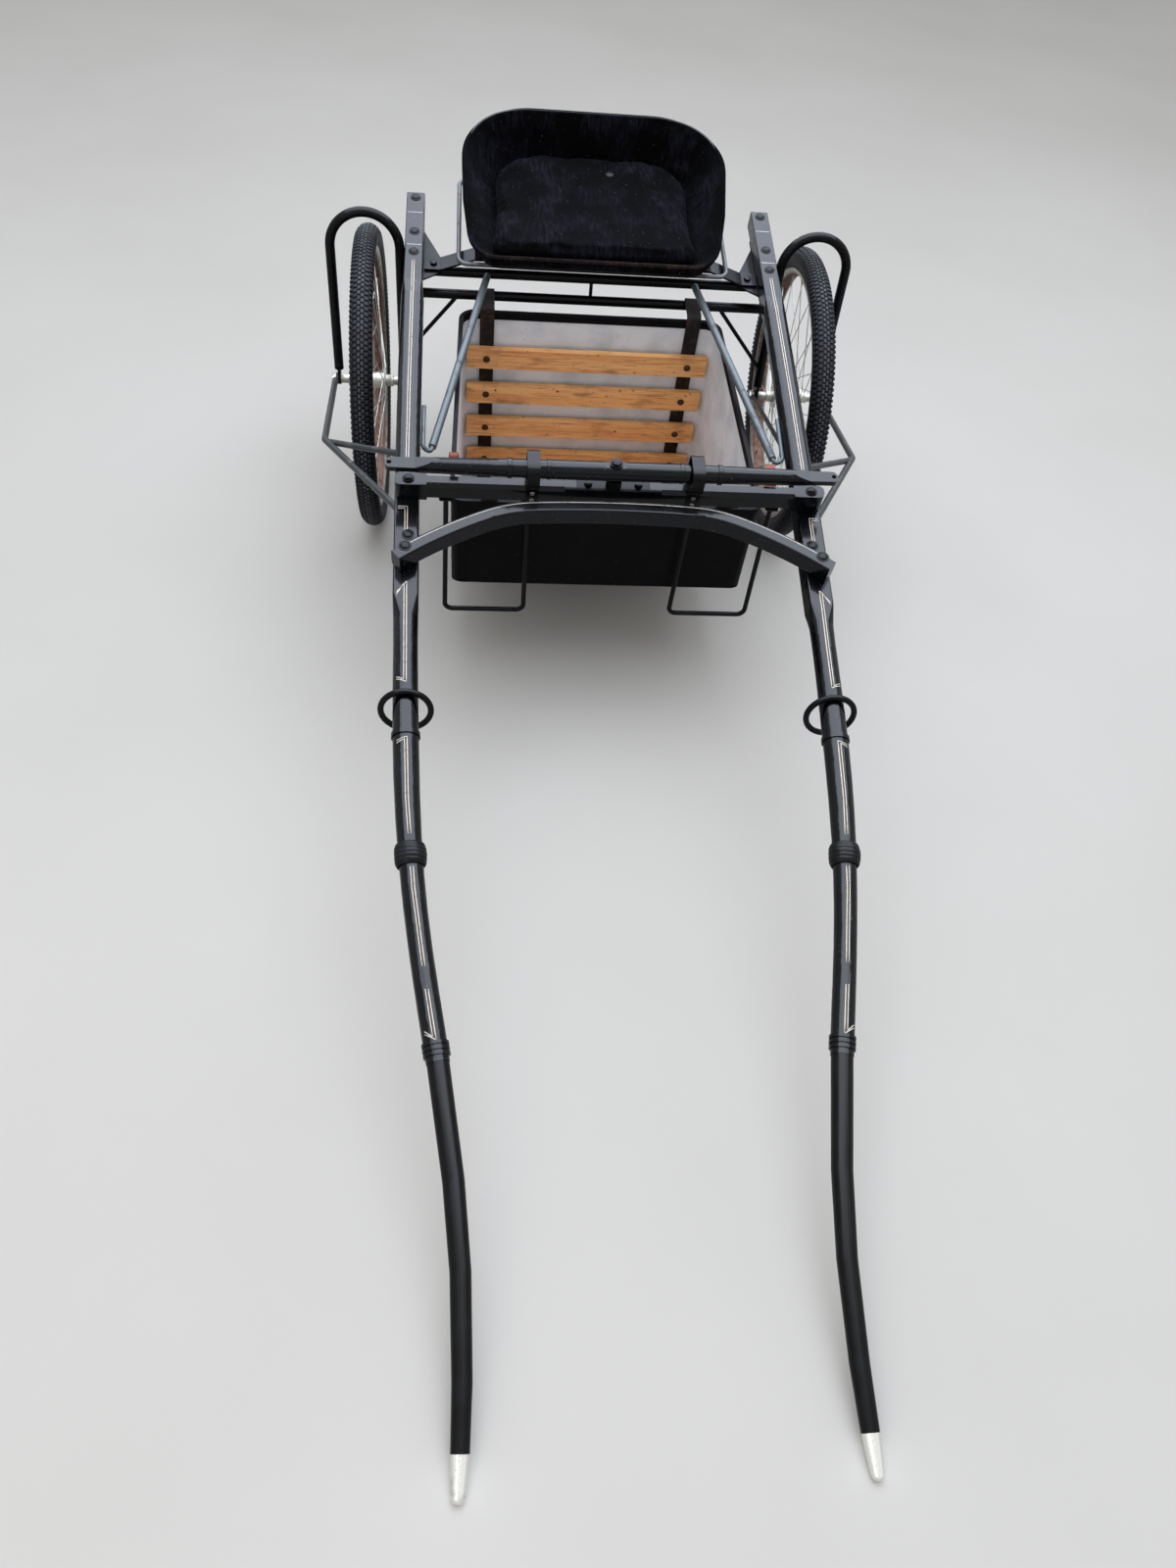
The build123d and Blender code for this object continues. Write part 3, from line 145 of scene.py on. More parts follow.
def add_node(tree, kind, settings=None, links=None):
    """Add a shader node, set its properties or sockets, and link its inputs."""
    made = tree.nodes.new("ShaderNode" + kind)
    for key, value in (settings or {}).items():
        if isinstance(key, str) and hasattr(made, key):
            setattr(made, key, value)
        else:
            made.inputs[key].default_value = value
    for key, source in (links or {}).items():
        tree.links.new(source, made.inputs[key])
    return made


def started(name):
    """Empty material, its node tree and the object's own coordinates."""
    material = bpy.data.materials.new(name)
    material.use_nodes = True
    tree = material.node_tree
    tree.nodes.clear()
    return material, tree, add_node(tree, "TexCoord").outputs["Object"]


def finished(material, settings, links):
    """Close a material with its Principled shader."""
    tree = material.node_tree
    shader = add_node(tree, "BsdfPrincipled", settings, links)
    add_node(tree, "OutputMaterial", links={"Surface": shader.outputs[0]})
    return material


def patches(tree, where, size_mm, low, high, detail=4.0, stretch=(1, 1, 1)):
    """Mask with patches of a real size in mm: noise between two thresholds."""
    mapped = add_node(tree, "Mapping", {"Scale": stretch}, {"Vector": where})
    pattern = add_node(tree, "TexNoise", {"Scale": 1 / (size_mm * MM), "Detail": detail},
                       {"Vector": mapped.outputs[0]})
    return add_node(tree, "MapRange", {"From Min": low, "From Max": high},
                    {"Value": pattern.outputs["Fac"]}).outputs[0]


# %% [markdown]
# Most of the cart is bent hickory under black coach enamel: many thin coats rubbed down and
# varnished. The varnish gives a sharp reflection over a deep colour, so the shader has a thin
# clear coat. Age leaves faint grey dust, dull patches and small chips.

# %% Black coach enamel
def make_enamel(name, dark, dusty, chip, chip_size_mm, gloss, rough):
    """Glossy black varnished paint with dust and tiny chips."""
    material, tree, where = started(name)
    dust = patches(tree, where, 60, 0.45, 0.75)
    chips = patches(tree, where, chip_size_mm, 0.70, 0.74, detail=2.0)
    ripple = patches(tree, where, 14, 0.2, 0.8)
    body = add_node(tree, "Mix", {"data_type": "RGBA", 6: linear(dark), 7: linear(dusty)}, {0: dust})
    paint = add_node(tree, "Mix", {"data_type": "RGBA", 7: linear(chip)},
                     {0: chips, 6: body.outputs[2]})
    dull = add_node(tree, "MapRange", {"To Min": rough, "To Max": rough + 0.2}, {"Value": dust})
    relief = add_node(tree, "Bump", {"Distance": 0.12 * MM, "Strength": 1.0}, {"Height": ripple})
    return finished(material, {
        "Coat Weight": gloss, "Coat Roughness": 0.1, "Coat IOR": 1.5, "Specular IOR Level": 0.05,
        # The pale blue coat tint is painted colour that stands in for the sky's blue in the varnish's
        # reflections.
        "Coat Tint": linear("e4ecff"),
    }, {"Base Color": paint.outputs[2], "Roughness": dull.outputs[0], "Normal": relief.outputs[0]})


COACH_ENAMEL = make_enamel("black_coach_enamel", "040507", "0c0f12", "50555a", 4, 0.27, 0.25)
IRON_ENAMEL = make_enamel("black_stove_enamel_on_iron", "050506", "101114", "33302e", 6, 0.12, 0.4)
SHEET_ENAMEL = make_enamel("black_painted_basket_sheet", "040405", "0e0e0f", "23211f", 9, 0.04,
                           0.65)
print("enamels:", COACH_ENAMEL.name, IRON_ENAMEL.name, SHEET_ENAMEL.name)

# %% [markdown]
# Harness leather is dyed black and waxed: softer in its shine than paint, with a fine pebbled
# grain and creases. The stops on the shafts are bound with cloth tape, which is duller still.

# %% Leather and tape
def make_leather(name, dark, pale, grain_mm, rough, depth_mm, wax):
    """Grained dark hide, or woven tape where the grain is coarse and the shine low."""
    material, tree, where = started(name)
    cells = add_node(tree, "TexVoronoi", {"Scale": 1 / (grain_mm * MM)}, {"Vector": where})
    wear = patches(tree, where, 35, 0.45, 0.8)
    hide = add_node(tree, "Mix", {"data_type": "RGBA", 6: linear(dark), 7: linear(pale)}, {0: wear})
    dull = add_node(tree, "MapRange", {"To Min": rough, "To Max": rough + 0.2}, {"Value": wear})
    relief = add_node(tree, "Bump", {"Distance": depth_mm * MM, "Strength": 1.0},
                      {"Height": cells.outputs["Distance"]})
    return finished(material, {
        "Coat Weight": wax, "Coat Roughness": 0.22, "Specular IOR Level": 0.06,
    }, {"Base Color": hide.outputs[2], "Roughness": dull.outputs[0], "Normal": relief.outputs[0]})


HIDE = make_leather("black_waxed_harness_leather", "040405", "0d0e10", 1.6, 0.36, 0.12, 0.14)
RED_HIDE = make_leather("red_brown_leather", "8a3f2c", "b8654c", 2.0, 0.45, 0.3, 0.1)
TAPE = make_leather("black_cotton_friction_tape", "0d0e10", "222428", 2.2, 0.55, 0.3, 0.12)
print("leathers:", HIDE.name, RED_HIDE.name, TAPE.name)

# %% [markdown]
# The metals differ by how they were made. The shaft tips are spun and polished. The wheel
# spokes are drawn steel wire, the axles are turned steel. The struts are painted gas pipe,
# rubbed grey and rusting. The guards are the same pipe in black gloss paint, rusting too; their
# dark blue-grey colour is a painted reflection of the sky. The basket irons have lost their
# paint altogether.

# %% Bare and painted metals
def make_metal(name, clean, soiled, rough, metallic, soil_mm, soil_from):
    """Metal with soiled or rusty patches that are rougher than the clean part."""
    material, tree, where = started(name)
    soil = patches(tree, where, soil_mm, soil_from, soil_from + 0.18, detail=6.0)
    fine = patches(tree, where, 2.5, 0.3, 0.7)
    metal = add_node(tree, "Mix", {"data_type": "RGBA", 6: linear(clean), 7: linear(soiled)},
                     {0: soil})
    dull = add_node(tree, "MapRange", {"To Min": rough, "To Max": min(1.0, rough + 0.4)},
                    {"Value": soil})
    relief = add_node(tree, "Bump", {"Distance": 0.15 * MM, "Strength": 1.0}, {"Height": fine})
    return finished(material, {"Metallic": metallic, "Specular IOR Level": 0.22}, {
        "Base Color": metal.outputs[2], "Roughness": dull.outputs[0], "Normal": relief.outputs[0],
    })


POLISHED = make_metal("polished_nickel_on_brass", "e6e6e2", "a9a59a", 0.12, 1.0, 30, 0.62)
TURNED = make_metal("turned_steel", "9b9a94", "5a5148", 0.35, 0.8, 25, 0.5)
WIRE = make_metal("drawn_spoke_wire", "a9a8a2", "7a7268", 0.35, 0.9, 40, 0.55)
HUB_METAL = make_metal("zinc_plated_hub_shell", "b9b8ac", "7e7868", 0.42, 0.5, 18, 0.55)
# The guards' dark blue-grey base colour is gloss black with a painted sky reflection in it; the paler
# patches are rust.
PIPE = make_metal("black_pipe_with_painted_sky_reflection", "2b3136", "5a554e", 0.36, 0.25, 28, 0.54)
GREY_PIPE = make_metal("blue_grey_painted_tube", "525b60", "43423e", 0.45, 0.15, 22, 0.55)
ROD = make_metal("dull_grey_steel_rod", "53575a", "45403b", 0.5, 0.25, 18, 0.55)
RUSTY = make_metal("rusty_forged_iron", "13100f", "3b2a22", 0.75, 0.1, 16, 0.5)
SCREW_IRON = make_metal("rusty_screw_head", "3a2a20", "63432f", 0.6, 0.3, 6, 0.45)
print("materials so far:", len(bpy.data.materials))

# %% [markdown]
# Paint lines are drawn by hand with a long sable brush: cream, with a fine gold line beside
# it, and aluminium paint round the rear blocks. They have no clear coat of their own.

# %% Line paints
def make_line_paint(name, colour, faded):
    """Thin opaque enamel line, worn through in places."""
    material, tree, where = started(name)
    worn = patches(tree, where, 7, 0.58, 0.72)
    line = add_node(tree, "Mix", {"data_type": "RGBA", 6: linear(colour), 7: linear(faded)},
                    {0: worn})
    return finished(material, {"Roughness": 0.4}, {"Base Color": line.outputs[2]})


CREAM = make_line_paint("cream_line_paint", "efe9d8", "8d8a82")
GOLD = make_line_paint("old_gold_line_paint", "b5793c", "5a4630")
SILVER = make_line_paint("aluminium_line_paint", "c9cdd2", "5e6368")
print("line paints:", CREAM.name, GOLD.name, SILVER.name)

# %% [markdown]
# The foot slats are straight-grained ash under yellowed varnish. Long grain runs along x, so
# the noise is stretched in that direction: narrow dark pores, wide colour bands, and brown
# stains where water got under the varnish.

# %% Varnished ash
def make_slat_wood():
    """Orange varnished hardwood with its grain along x."""
    material, tree, where = started("varnished_ash")
    bands = patches(tree, where, 22, 0.3, 0.7, stretch=(0.06, 1, 1))
    pores = patches(tree, where, 2.2, 0.52, 0.66, stretch=(0.03, 1, 1))
    stains = patches(tree, where, 45, 0.56, 0.74, detail=8.0, stretch=(0.5, 1.4, 1.4))
    blotches = patches(tree, where, 9, 0.66, 0.74, detail=3.0)
    wood = add_node(tree, "Mix", {"data_type": "RGBA", 6: linear("f5bd77"), 7: linear("e29b54")},
                    {0: bands})
    for mask, colour in ((pores, "b87339"), (stains, "97592b"), (blotches, "3f2613")):
        wood = add_node(tree, "Mix", {"data_type": "RGBA", 7: linear(colour)},
                        {0: mask, 6: wood.outputs[2]})
    dull = add_node(tree, "MapRange", {"To Min": 0.38, "To Max": 0.7}, {"Value": stains})
    relief = add_node(tree, "Bump", {"Distance": 0.2 * MM, "Strength": 1.0}, {"Height": pores})
    return finished(material, {"Coat Weight": 0.5, "Coat Roughness": 0.25}, {
        "Base Color": wood.outputs[2], "Roughness": dull.outputs[0], "Normal": relief.outputs[0],
    })


SLAT_WOOD = make_slat_wood()
print("slat wood has", len(SLAT_WOOD.node_tree.nodes), "nodes")

# %% [markdown]
# The basket is lined with thin board painted a pale grey and is black outside. The brush left
# fine upright ribs in the paint, and boots left scuffs. The seat is cotton corduroy gone nearly
# velvet-smooth: black, with a soft sheen at grazing angles, cords about 3 mm apart and lint
# specks. Its paler streaks of crushed nap are painted sheen: lighter colour where the pile
# would catch the light. A wave texture draws both ribs and cords.

# %% Lining paint and seat cloth
BRUSH_RIB = 4
CORD = 1.5


def make_lining():
    """Pale painted board with upright brush ribs and grey scuffs."""
    material, tree, where = started("pale_painted_lining_board")
    ribs = add_node(tree, "TexWave", {"Scale": 1 / (2 * math.pi * BRUSH_RIB * MM), "Distortion": 1.5,
                                      "Detail": 2.0, "Detail Scale": 3.0}, {"Vector": where})
    scuffs = patches(tree, where, 70, 0.42, 0.78, detail=8.0)
    specks = patches(tree, where, 6, 0.66, 0.76)
    board = add_node(tree, "Mix", {"data_type": "RGBA", 6: linear("e2e8ee"), 7: linear("bfc6cf")},
                     {0: scuffs})
    paint = add_node(tree, "Mix", {"data_type": "RGBA", 7: linear("97948f")},
                     {0: specks, 6: board.outputs[2]})
    relief = add_node(tree, "Bump", {"Distance": 0.12 * MM, "Strength": 1.0},
                      {"Height": ribs.outputs["Fac"]})
    return finished(material, {"Roughness": 0.62, "Specular IOR Level": 0.3},
                    {"Base Color": paint.outputs[2], "Normal": relief.outputs[0]})


def make_seat_cloth(name, dark, worn, lint_from):
    """Black corduroy with sheen, painted sheen streaks of crushed nap, fine cords and lint."""
    material, tree, where = started(name)
    cords = add_node(tree, "TexWave", {"Scale": 1 / (2 * math.pi * CORD * MM), "Distortion": 2.0,
                                       "Detail": 1.0}, {"Vector": where})
    crushed = patches(tree, where, 60, 0.42, 0.74, detail=10.0)
    streaks = patches(tree, where, 6, 0.36, 0.70, detail=6.0, stretch=(1.0, 0.22, 0.22))
    painted_sheen_nap = add_node(tree, "Math", {"operation": "MULTIPLY"}, {0: crushed, 1: streaks})
    lint = patches(tree, where, 5, lint_from, lint_from + 0.05, detail=1.0)
    # The paler colour laid over the nap mask is painted sheen: the light that crushed pile would
    # catch.
    cloth = add_node(tree, "Mix", {"data_type": "RGBA", 6: linear(dark), 7: linear(worn)},
                     {0: painted_sheen_nap.outputs[0]})
    specked = add_node(tree, "Mix", {"data_type": "RGBA", 7: linear("4a4a4e")},
                       {0: lint, 6: cloth.outputs[2]})
    relief = add_node(tree, "Bump", {"Distance": 0.3 * MM, "Strength": 1.0},
                      {"Height": cords.outputs["Fac"]})
    return finished(material, {
        "Roughness": 0.95, "Specular IOR Level": 0.03,
        "Sheen Weight": 0.09, "Sheen Roughness": 0.35, "Sheen Tint": linear("7f83a2"),
    }, {"Base Color": specked.outputs[2], "Normal": relief.outputs[0]})


LINING = make_lining()
# The second colour of each cloth is its paler nap streaks, which are painted sheen; the edge cloth's
# brown is real wear.
CORDUROY = make_seat_cloth("black_corduroy", "030304", "272834", 0.74)
WORN_EDGE = make_seat_cloth("worn_seat_edge_cloth", "1a1412", "4d392e", 0.68)
print("lining and cloths:", LINING.name, CORDUROY.name, WORN_EDGE.name)

# %% [markdown]
# Tyre rubber is matt and dusty: the dust sits on top of the blocks and along the crown, and
# washes off the shoulders. The rims were plated; rust has taken their inner face and only the
# lips still shine. Both patterns follow the distance from the wheel's middle plane, which is at
# x = 0.5 m each side. The tops of the blocks are found by their distance from the tyre's core.

# %% Tyre and rim
WHEEL_X = abs(SPIN_PLACE[0])
TYRE_CENTRE_R = 310.0
CARCASS_R = 24.3


def beside_plane(tree, x):
    """Distance from the nearer wheel's middle plane, negative inside it."""
    out = add_node(tree, "Math", {"operation": "ABSOLUTE"}, {0: x}).outputs[0]
    return add_node(tree, "Math", {"operation": "SUBTRACT", 1: WHEEL_X}, {0: out}).outputs[0]


def off_plane(tree, where, near_mm, far_mm):
    """Mask from 0 near the wheel's middle plane to 1 away from it."""
    x = add_node(tree, "SeparateXYZ", links={0: where}).outputs["X"]
    off = add_node(tree, "Math", {"operation": "ABSOLUTE"}, {0: beside_plane(tree, x)})
    return add_node(tree, "MapRange", {"From Min": near_mm * MM, "From Max": far_mm * MM},
                    {"Value": off.outputs[0]}).outputs[0]


def block_tops(tree, where):
    """Mask from 0 in the grooves of the tread to 1 on top of its blocks."""
    centred = add_node(tree, "Mapping", {"Location": (0, -AXLE.y, -AXLE.z)}, {"Vector": where})
    parts = add_node(tree, "SeparateXYZ", links={0: centred.outputs[0]}).outputs
    in_plane = add_node(tree, "CombineXYZ", links={1: parts["Y"], 2: parts["Z"]})
    radius = add_node(tree, "VectorMath", {"operation": "LENGTH"}, {0: in_plane.outputs[0]})
    out = add_node(tree, "Math", {"operation": "SUBTRACT", 1: TYRE_CENTRE_R * MM},
                   {0: radius.outputs["Value"]})
    place = add_node(tree, "CombineXYZ", links={0: out.outputs[0], 1: beside_plane(tree, parts["X"])})
    from_core = add_node(tree, "VectorMath", {"operation": "LENGTH"}, {0: place.outputs[0]})
    return add_node(tree, "MapRange", {"From Min": (CARCASS_R + 0.4) * MM,
                                       "From Max": (CARCASS_R + 2.0) * MM},
                    {"Value": from_core.outputs["Value"]}).outputs[0]


def make_rubber():
    """Black tyre rubber, dusty on top of its blocks and most of all along its crown."""
    material, tree, where = started("dusty_tyre_rubber")
    shoulder = off_plane(tree, where, 3, 15)
    crown = add_node(tree, "Mix", {"data_type": "RGBA", 6: linear("55575f"), 7: linear("24262c")},
                     {0: patches(tree, where, 12, 0.35, 0.7)})
    flank = add_node(tree, "Mix", {"data_type": "RGBA", 6: linear("191b21"), 7: linear("292b30")},
                     {0: patches(tree, where, 30, 0.4, 0.8)})
    worn = add_node(tree, "Mix", {"data_type": "RGBA"},
                    {0: shoulder, 6: crown.outputs[2], 7: flank.outputs[2]})
    rubber = add_node(tree, "Mix", {"data_type": "RGBA", 6: linear("040406")},
                      {0: block_tops(tree, where), 7: worn.outputs[2]})
    relief = add_node(tree, "Bump", {"Distance": 0.1 * MM, "Strength": 1.0},
                      {"Height": patches(tree, where, 1.5, 0.3, 0.7)})
    return finished(material, {"Roughness": 0.62, "Specular IOR Level": 0.14},
                    {"Base Color": rubber.outputs[2], "Normal": relief.outputs[0]})


def make_rim():
    """Plated steel rim with a rusty inner face and bright lips."""
    material, tree, where = started("rusted_plated_rim")
    lip = off_plane(tree, where, 11, 15)
    rust = add_node(tree, "Mix", {"data_type": "RGBA", 6: linear("472c21"), 7: linear("6f4f40")},
                    {0: patches(tree, where, 14, 0.35, 0.7, detail=8.0)})
    bright = add_node(tree, "Mix", {"data_type": "RGBA", 6: linear("86827a"), 7: linear("5d4c41")},
                      {0: patches(tree, where, 10, 0.42, 0.66)})
    steel = add_node(tree, "Mix", {"data_type": "RGBA"},
                     {0: lip, 6: rust.outputs[2], 7: bright.outputs[2]})
    shine = add_node(tree, "MapRange", {"To Min": 0.7, "To Max": 0.3}, {"Value": lip})
    relief = add_node(tree, "Bump", {"Distance": 0.2 * MM, "Strength": 1.0},
                      {"Height": patches(tree, where, 3, 0.4, 0.7)})
    return finished(material, {"Metallic": 0.6}, {
        "Base Color": steel.outputs[2], "Roughness": shine.outputs[0], "Normal": relief.outputs[0],
    })


RUBBER = make_rubber()
RIM_STEEL = make_rim()
print("materials made:", len(bpy.data.materials))

# %% [markdown]
# Each CAD piece keeps its shape and gets its real finish. One table says which finish covers
# which pieces, and a check makes sure that none is forgotten.

# %% Finishes of the CAD pieces
def pairs(*patterns):
    """Names of the left and the right piece of each pattern."""
    return [pattern.format(side) for pattern in patterns for side in SIDES]


FINISHES = [
    (COACH_ENAMEL, pairs("shaft_{}", "shaft_moulding_{}")
     + ["crossbar", "shaft_bow", "singletree"]),
    (HIDE, pairs("shaft_point_cover_{}", "singletree_strap_{}")),
    (TAPE, pairs("shaft_stop_{}")),
    (POLISHED, pairs("shaft_tip_{}")),
    (SHEET_ENAMEL, ["basket_shell", "basket_binding"]),
    (IRON_ENAMEL, pairs("shaft_ring_{}", "shaft_gusset_{}", "stirrup_{}", "fork_arch_{}",
                        "frame_brace_{}", "axle_stay_{}")
     + ["singletree_pivot", "cross_tube_upper", "cross_tube_lower", "cross_tube_tie",
        "leaf_spring", "seat_pan"]),
    (PIPE, pairs("wheel_guard_{}")),
    (GREY_PIPE, pairs("seat_strut_{}")),
    (ROD, pairs("seat_rail_{}")),
    (TURNED, pairs("axle_{}")),
    (RUSTY, ["basket_irons"]),
    (SLAT_WOOD, ["basket_back_slats", "basket_floor_slats"]),
    (CORDUROY, ["seat_cushion"]),
    (RUBBER, pairs("wheel_{}_tyre")),
    (RIM_STEEL, pairs("wheel_{}_rim")),
    (HUB_METAL, pairs("wheel_{}_hub")),
    (WIRE, pairs("wheel_{}_spokes")),
]
for material, nodes in FINISHES:
    for node in nodes:
        CAD[node].data.materials.clear()
        CAD[node].data.materials.append(material)
forgotten = set(CAD) - {node for _, nodes in FINISHES for node in nodes}
if forgotten:
    raise RuntimeError(f"no finish for {sorted(forgotten)}")
print("finishes given:", len(CAD))

# %% [markdown]
# Every new piece is handled in the same way: nothing else is selected while it is shaped, its
# place goes into its mesh, its faces are turned outwards, and it is told which body it rides
# on. A grid whose points are moved in code is the start of every thin or curved piece.

# %% Modelling helpers
def alone(obj):
    """Select one object and nothing else."""
    bpy.ops.object.select_all(action="DESELECT")
    obj.select_set(True)
    bpy.context.view_layer.objects.active = obj
    return obj


def added(operator, **options):
    """Add a primitive with nothing else selected."""
    bpy.ops.object.select_all(action="DESELECT")
    operator(**options)
    return alone(bpy.context.object)


def with_modifier(obj, kind, **settings):
    """Put one modifier on a piece and apply it."""
    alone(obj)
    made = obj.modifiers.new(kind.lower(), kind)
    for key, value in settings.items():
        setattr(made, key, value)
    bpy.ops.object.modifier_apply(modifier=made.name)
    return obj


def edit(obj, *steps):
    """Run edit-mode operators on the whole mesh, each a function with no arguments."""
    alone(obj)
    bpy.ops.object.mode_set(mode="EDIT")
    bpy.ops.mesh.select_all(action="SELECT")
    for step in steps:
        step()
    bpy.ops.object.mode_set(mode="OBJECT")
    return obj


def picked(obj, kind, test):
    """Stay in edit mode with only those edges or faces selected that pass a test."""
    bpy.ops.object.mode_set(mode="EDIT")
    bpy.ops.mesh.select_all(action="DESELECT")
    bpy.ops.mesh.select_mode(type=kind)
    bpy.ops.object.mode_set(mode="OBJECT")
    for item in obj.data.edges if kind == "EDGE" else obj.data.polygons:
        item.select = test(item)
    bpy.ops.object.mode_set(mode="EDIT")


def grid_piece(columns, rows, place):
    """Grid whose point at shares (s, t) is moved to place(s, t)."""
    made = added(bpy.ops.mesh.primitive_grid_add, x_subdivisions=columns, y_subdivisions=rows,
                 size=1.0)
    for point in made.data.vertices:
        point.co = place(point.co.x + 0.5, point.co.y + 0.5)
    return made


def stood(obj, place, up, turn=0.0):
    """Stand a piece at a place with its z along up."""
    lean = up.to_track_quat("Z", "Y").to_matrix().to_4x4()
    obj.matrix_world = Matrix.Translation(place) @ lean @ Matrix.Rotation(turn, 4, "Z")
    return obj


def copied(template, places):
    """Copies of a template, each stood at (place, up, turn). The template itself goes."""
    made = []
    for place, up, turn in places:
        copy = template.copy()
        copy.data = template.data.copy()
        bpy.context.scene.collection.objects.link(copy)
        made.append(stood(copy, place, up, turn))
    bpy.data.objects.remove(template)
    return made


def joined(pieces):
    """One object out of several."""
    bpy.context.view_layer.update()
    bpy.ops.object.select_all(action="DESELECT")
    for piece in pieces:
        piece.select_set(True)
    bpy.context.view_layer.objects.active = pieces[0]
    if len(pieces) > 1:
        bpy.ops.object.join()
    return bpy.context.view_layer.objects.active


def settled(obj, name, material, slot, body="cart", smooth=35.0):
    """Name a finished piece, bake its place into its mesh and hand it to its body."""
    obj.name = name
    obj.data.name = name
    alone(obj)
    bpy.ops.object.transform_apply(location=True, rotation=True, scale=True)
    edit(obj, lambda: bpy.ops.mesh.remove_doubles(threshold=1e-6),
         lambda: bpy.ops.mesh.normals_make_consistent(inside=False))
    alone(obj)
    bpy.ops.object.shade_smooth_by_angle(angle=math.radians(smooth))
    obj.data.materials.clear()
    obj.data.materials.append(material)
    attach(obj, body)
    print(name, "has", len(obj.data.polygons), "faces")
    return obj


def scattered(template, places, *finish, **options):
    """One settled piece made of copies of a template."""
    return settled(joined(copied(template, places)), *finish, **options)


# %% [markdown]
# The stripes. On the real shafts they are two cream lines side by side with a touch of gold,
# run along the top in panels that end in a short arm towards the outer edge. Each line here is
# a ribbon: a grid laid on the shaft by rays and thickened by a quarter of a millimetre.

# %% Stripe ribbons
LINE_WIDTH = 1.4
LINE_GAP = 4.8
GOLD_WIDTH = 0.6
GOLD_TRIM = 6
PAINT_T = 0.25


def ribbon(node, route, width, step=12.0):
    """Thin painted line on top of a node along a route of (x, v) points in mm."""
    runs = [math.dist(a, b) for a, b in zip(route, route[1:])]
    total = sum(runs)

    def at(distance):
        for (a, b), run in zip(zip(route, route[1:]), runs):
            if distance <= run or (a, b) == (route[-2], route[-1]):
                share = min(1.0, distance / run)
                way = Vector((b[0] - a[0], b[1] - a[1])).normalized()
                return Vector(a).lerp(Vector(b), share), way
            distance -= run

    def place(s, t):
        spot, way = at(s * total)
        spot = spot + Vector((-way.y, way.x)) * (t - 0.5) * width
        return on_top(node, spot.x, spot.y, above=PAINT_T / 2)[0]

    made = grid_piece(max(2, round(total / step)), 1, place)
    return with_modifier(made, "SOLIDIFY", thickness=PAINT_T * MM, offset=0.0)


# panels of each shaft: from, to, slant of the arm at the rear end, slant of the arm at the front
# end, both in mm of v over the arm's length, or None for a plain end
PANELS = [
    (28, -592, None, None),
    (-664, -742, 0, None),
    (-838, -1052, -26, 8),
    (-1160, -1338, -6, None),
    (-1394, -1560, None, None),
    (-1596, -1676, None, 10),
]
ARM = 15.5
BLOCK_X = 394
BAND_V = (186, 78)
BAND_REACH = 16.5
BAND_WIDTH = 2.0
for name, side in SIDES.items():
    node = f"shaft_{name}"
    cream, gold = [], []
    for rear_v, front_v, rear_arm, front_arm in PANELS:
        stops = [v for v, _ in SHAFT_LINE if front_v < v < rear_v]
        for across, arm_trim in ((-LINE_GAP / 2, LINE_GAP), (LINE_GAP / 2, 0)):
            inset_rear = arm_trim if rear_arm is not None else 0
            inset_front = arm_trim if front_arm is not None else 0
            marks = [rear_v - inset_rear] + stops + [front_v + inset_front]
            line = [(side * (shaft_x(v) - across), v) for v in marks]
            cream.append(ribbon(node, line, LINE_WIDTH))
            for slant, (x, v) in ((rear_arm, line[0]), (front_arm, line[-1])):
                if slant is not None:
                    outer = side * (shaft_x(v) + ARM)
                    cream.append(ribbon(node, [(x, v), (outer, v + slant)], LINE_WIDTH, step=3.0))
        marks = [rear_v - GOLD_TRIM] + stops + [front_v + GOLD_TRIM]
        line = [(side * (shaft_x(v) - LINE_GAP / 2 + LINE_WIDTH * 0.8), v) for v in marks]
        gold.append(ribbon(node, line, GOLD_WIDTH))
    settled(joined(cream), f"cream_lines_{name}", CREAM, "black_lacquer", smooth=180)
    settled(joined(gold), f"gold_lines_{name}", GOLD, "black_lacquer", smooth=180)
    inner, outer = side * (BLOCK_X - BAND_REACH), side * (BLOCK_X + BAND_REACH)
    bands = [ribbon(node, [(inner, v), (outer, v)], BAND_WIDTH, step=4.0) for v in BAND_V]
    settled(joined(bands), f"rear_block_bands_{name}", SILVER, "black_lacquer", smooth=180)

# %% [markdown]
# A fine cream line also follows the rear edge of the bow. The bow is a bent bar made of three
# arcs a side, so its line is worked out from the same arcs, shifted towards the rear edge.

# %% Bow lines
BOW_V = -680.0
# radius in mm, turn in degrees
BOW_ARCS = [(2250.0, 3.8), (253.0, 21.2), (829.0, 13.4)]
BOW_LINE_SHIFT = 7.0
BOW_LINE_WIDTH = 1.2


def bow_route(shift, steps=10):
    """Points (x, v) of one half of the bow, shifted rearward from its centre line."""
    x, v, heading = 0.0, BOW_V, 0.0
    points = []
    for radius, turn in BOW_ARCS:
        for step in range(steps):
            angle = heading + math.radians(turn) * step / steps
            spot_x = x + radius * (math.sin(angle) - math.sin(heading)) + shift * math.sin(angle)
            spot_v = v - radius * (math.cos(heading) - math.cos(angle)) + shift * math.cos(angle)
            points.append((spot_x, spot_v))
        last = heading + math.radians(turn)
        x += radius * (math.sin(last) - math.sin(heading))
        v -= radius * (math.cos(heading) - math.cos(last))
        heading = last
    return points


def whole_bow(shift):
    """Points (x, v) of the whole bow, shifted rearward from its centre line."""
    half = bow_route(shift)
    return [(-x, v) for x, v in reversed(half[1:])] + half


bow_line = ribbon("shaft_bow", whole_bow(BOW_LINE_SHIFT), BOW_LINE_WIDTH, step=9.0)
settled(bow_line, "bow_line", CREAM, "black_lacquer", smooth=180)

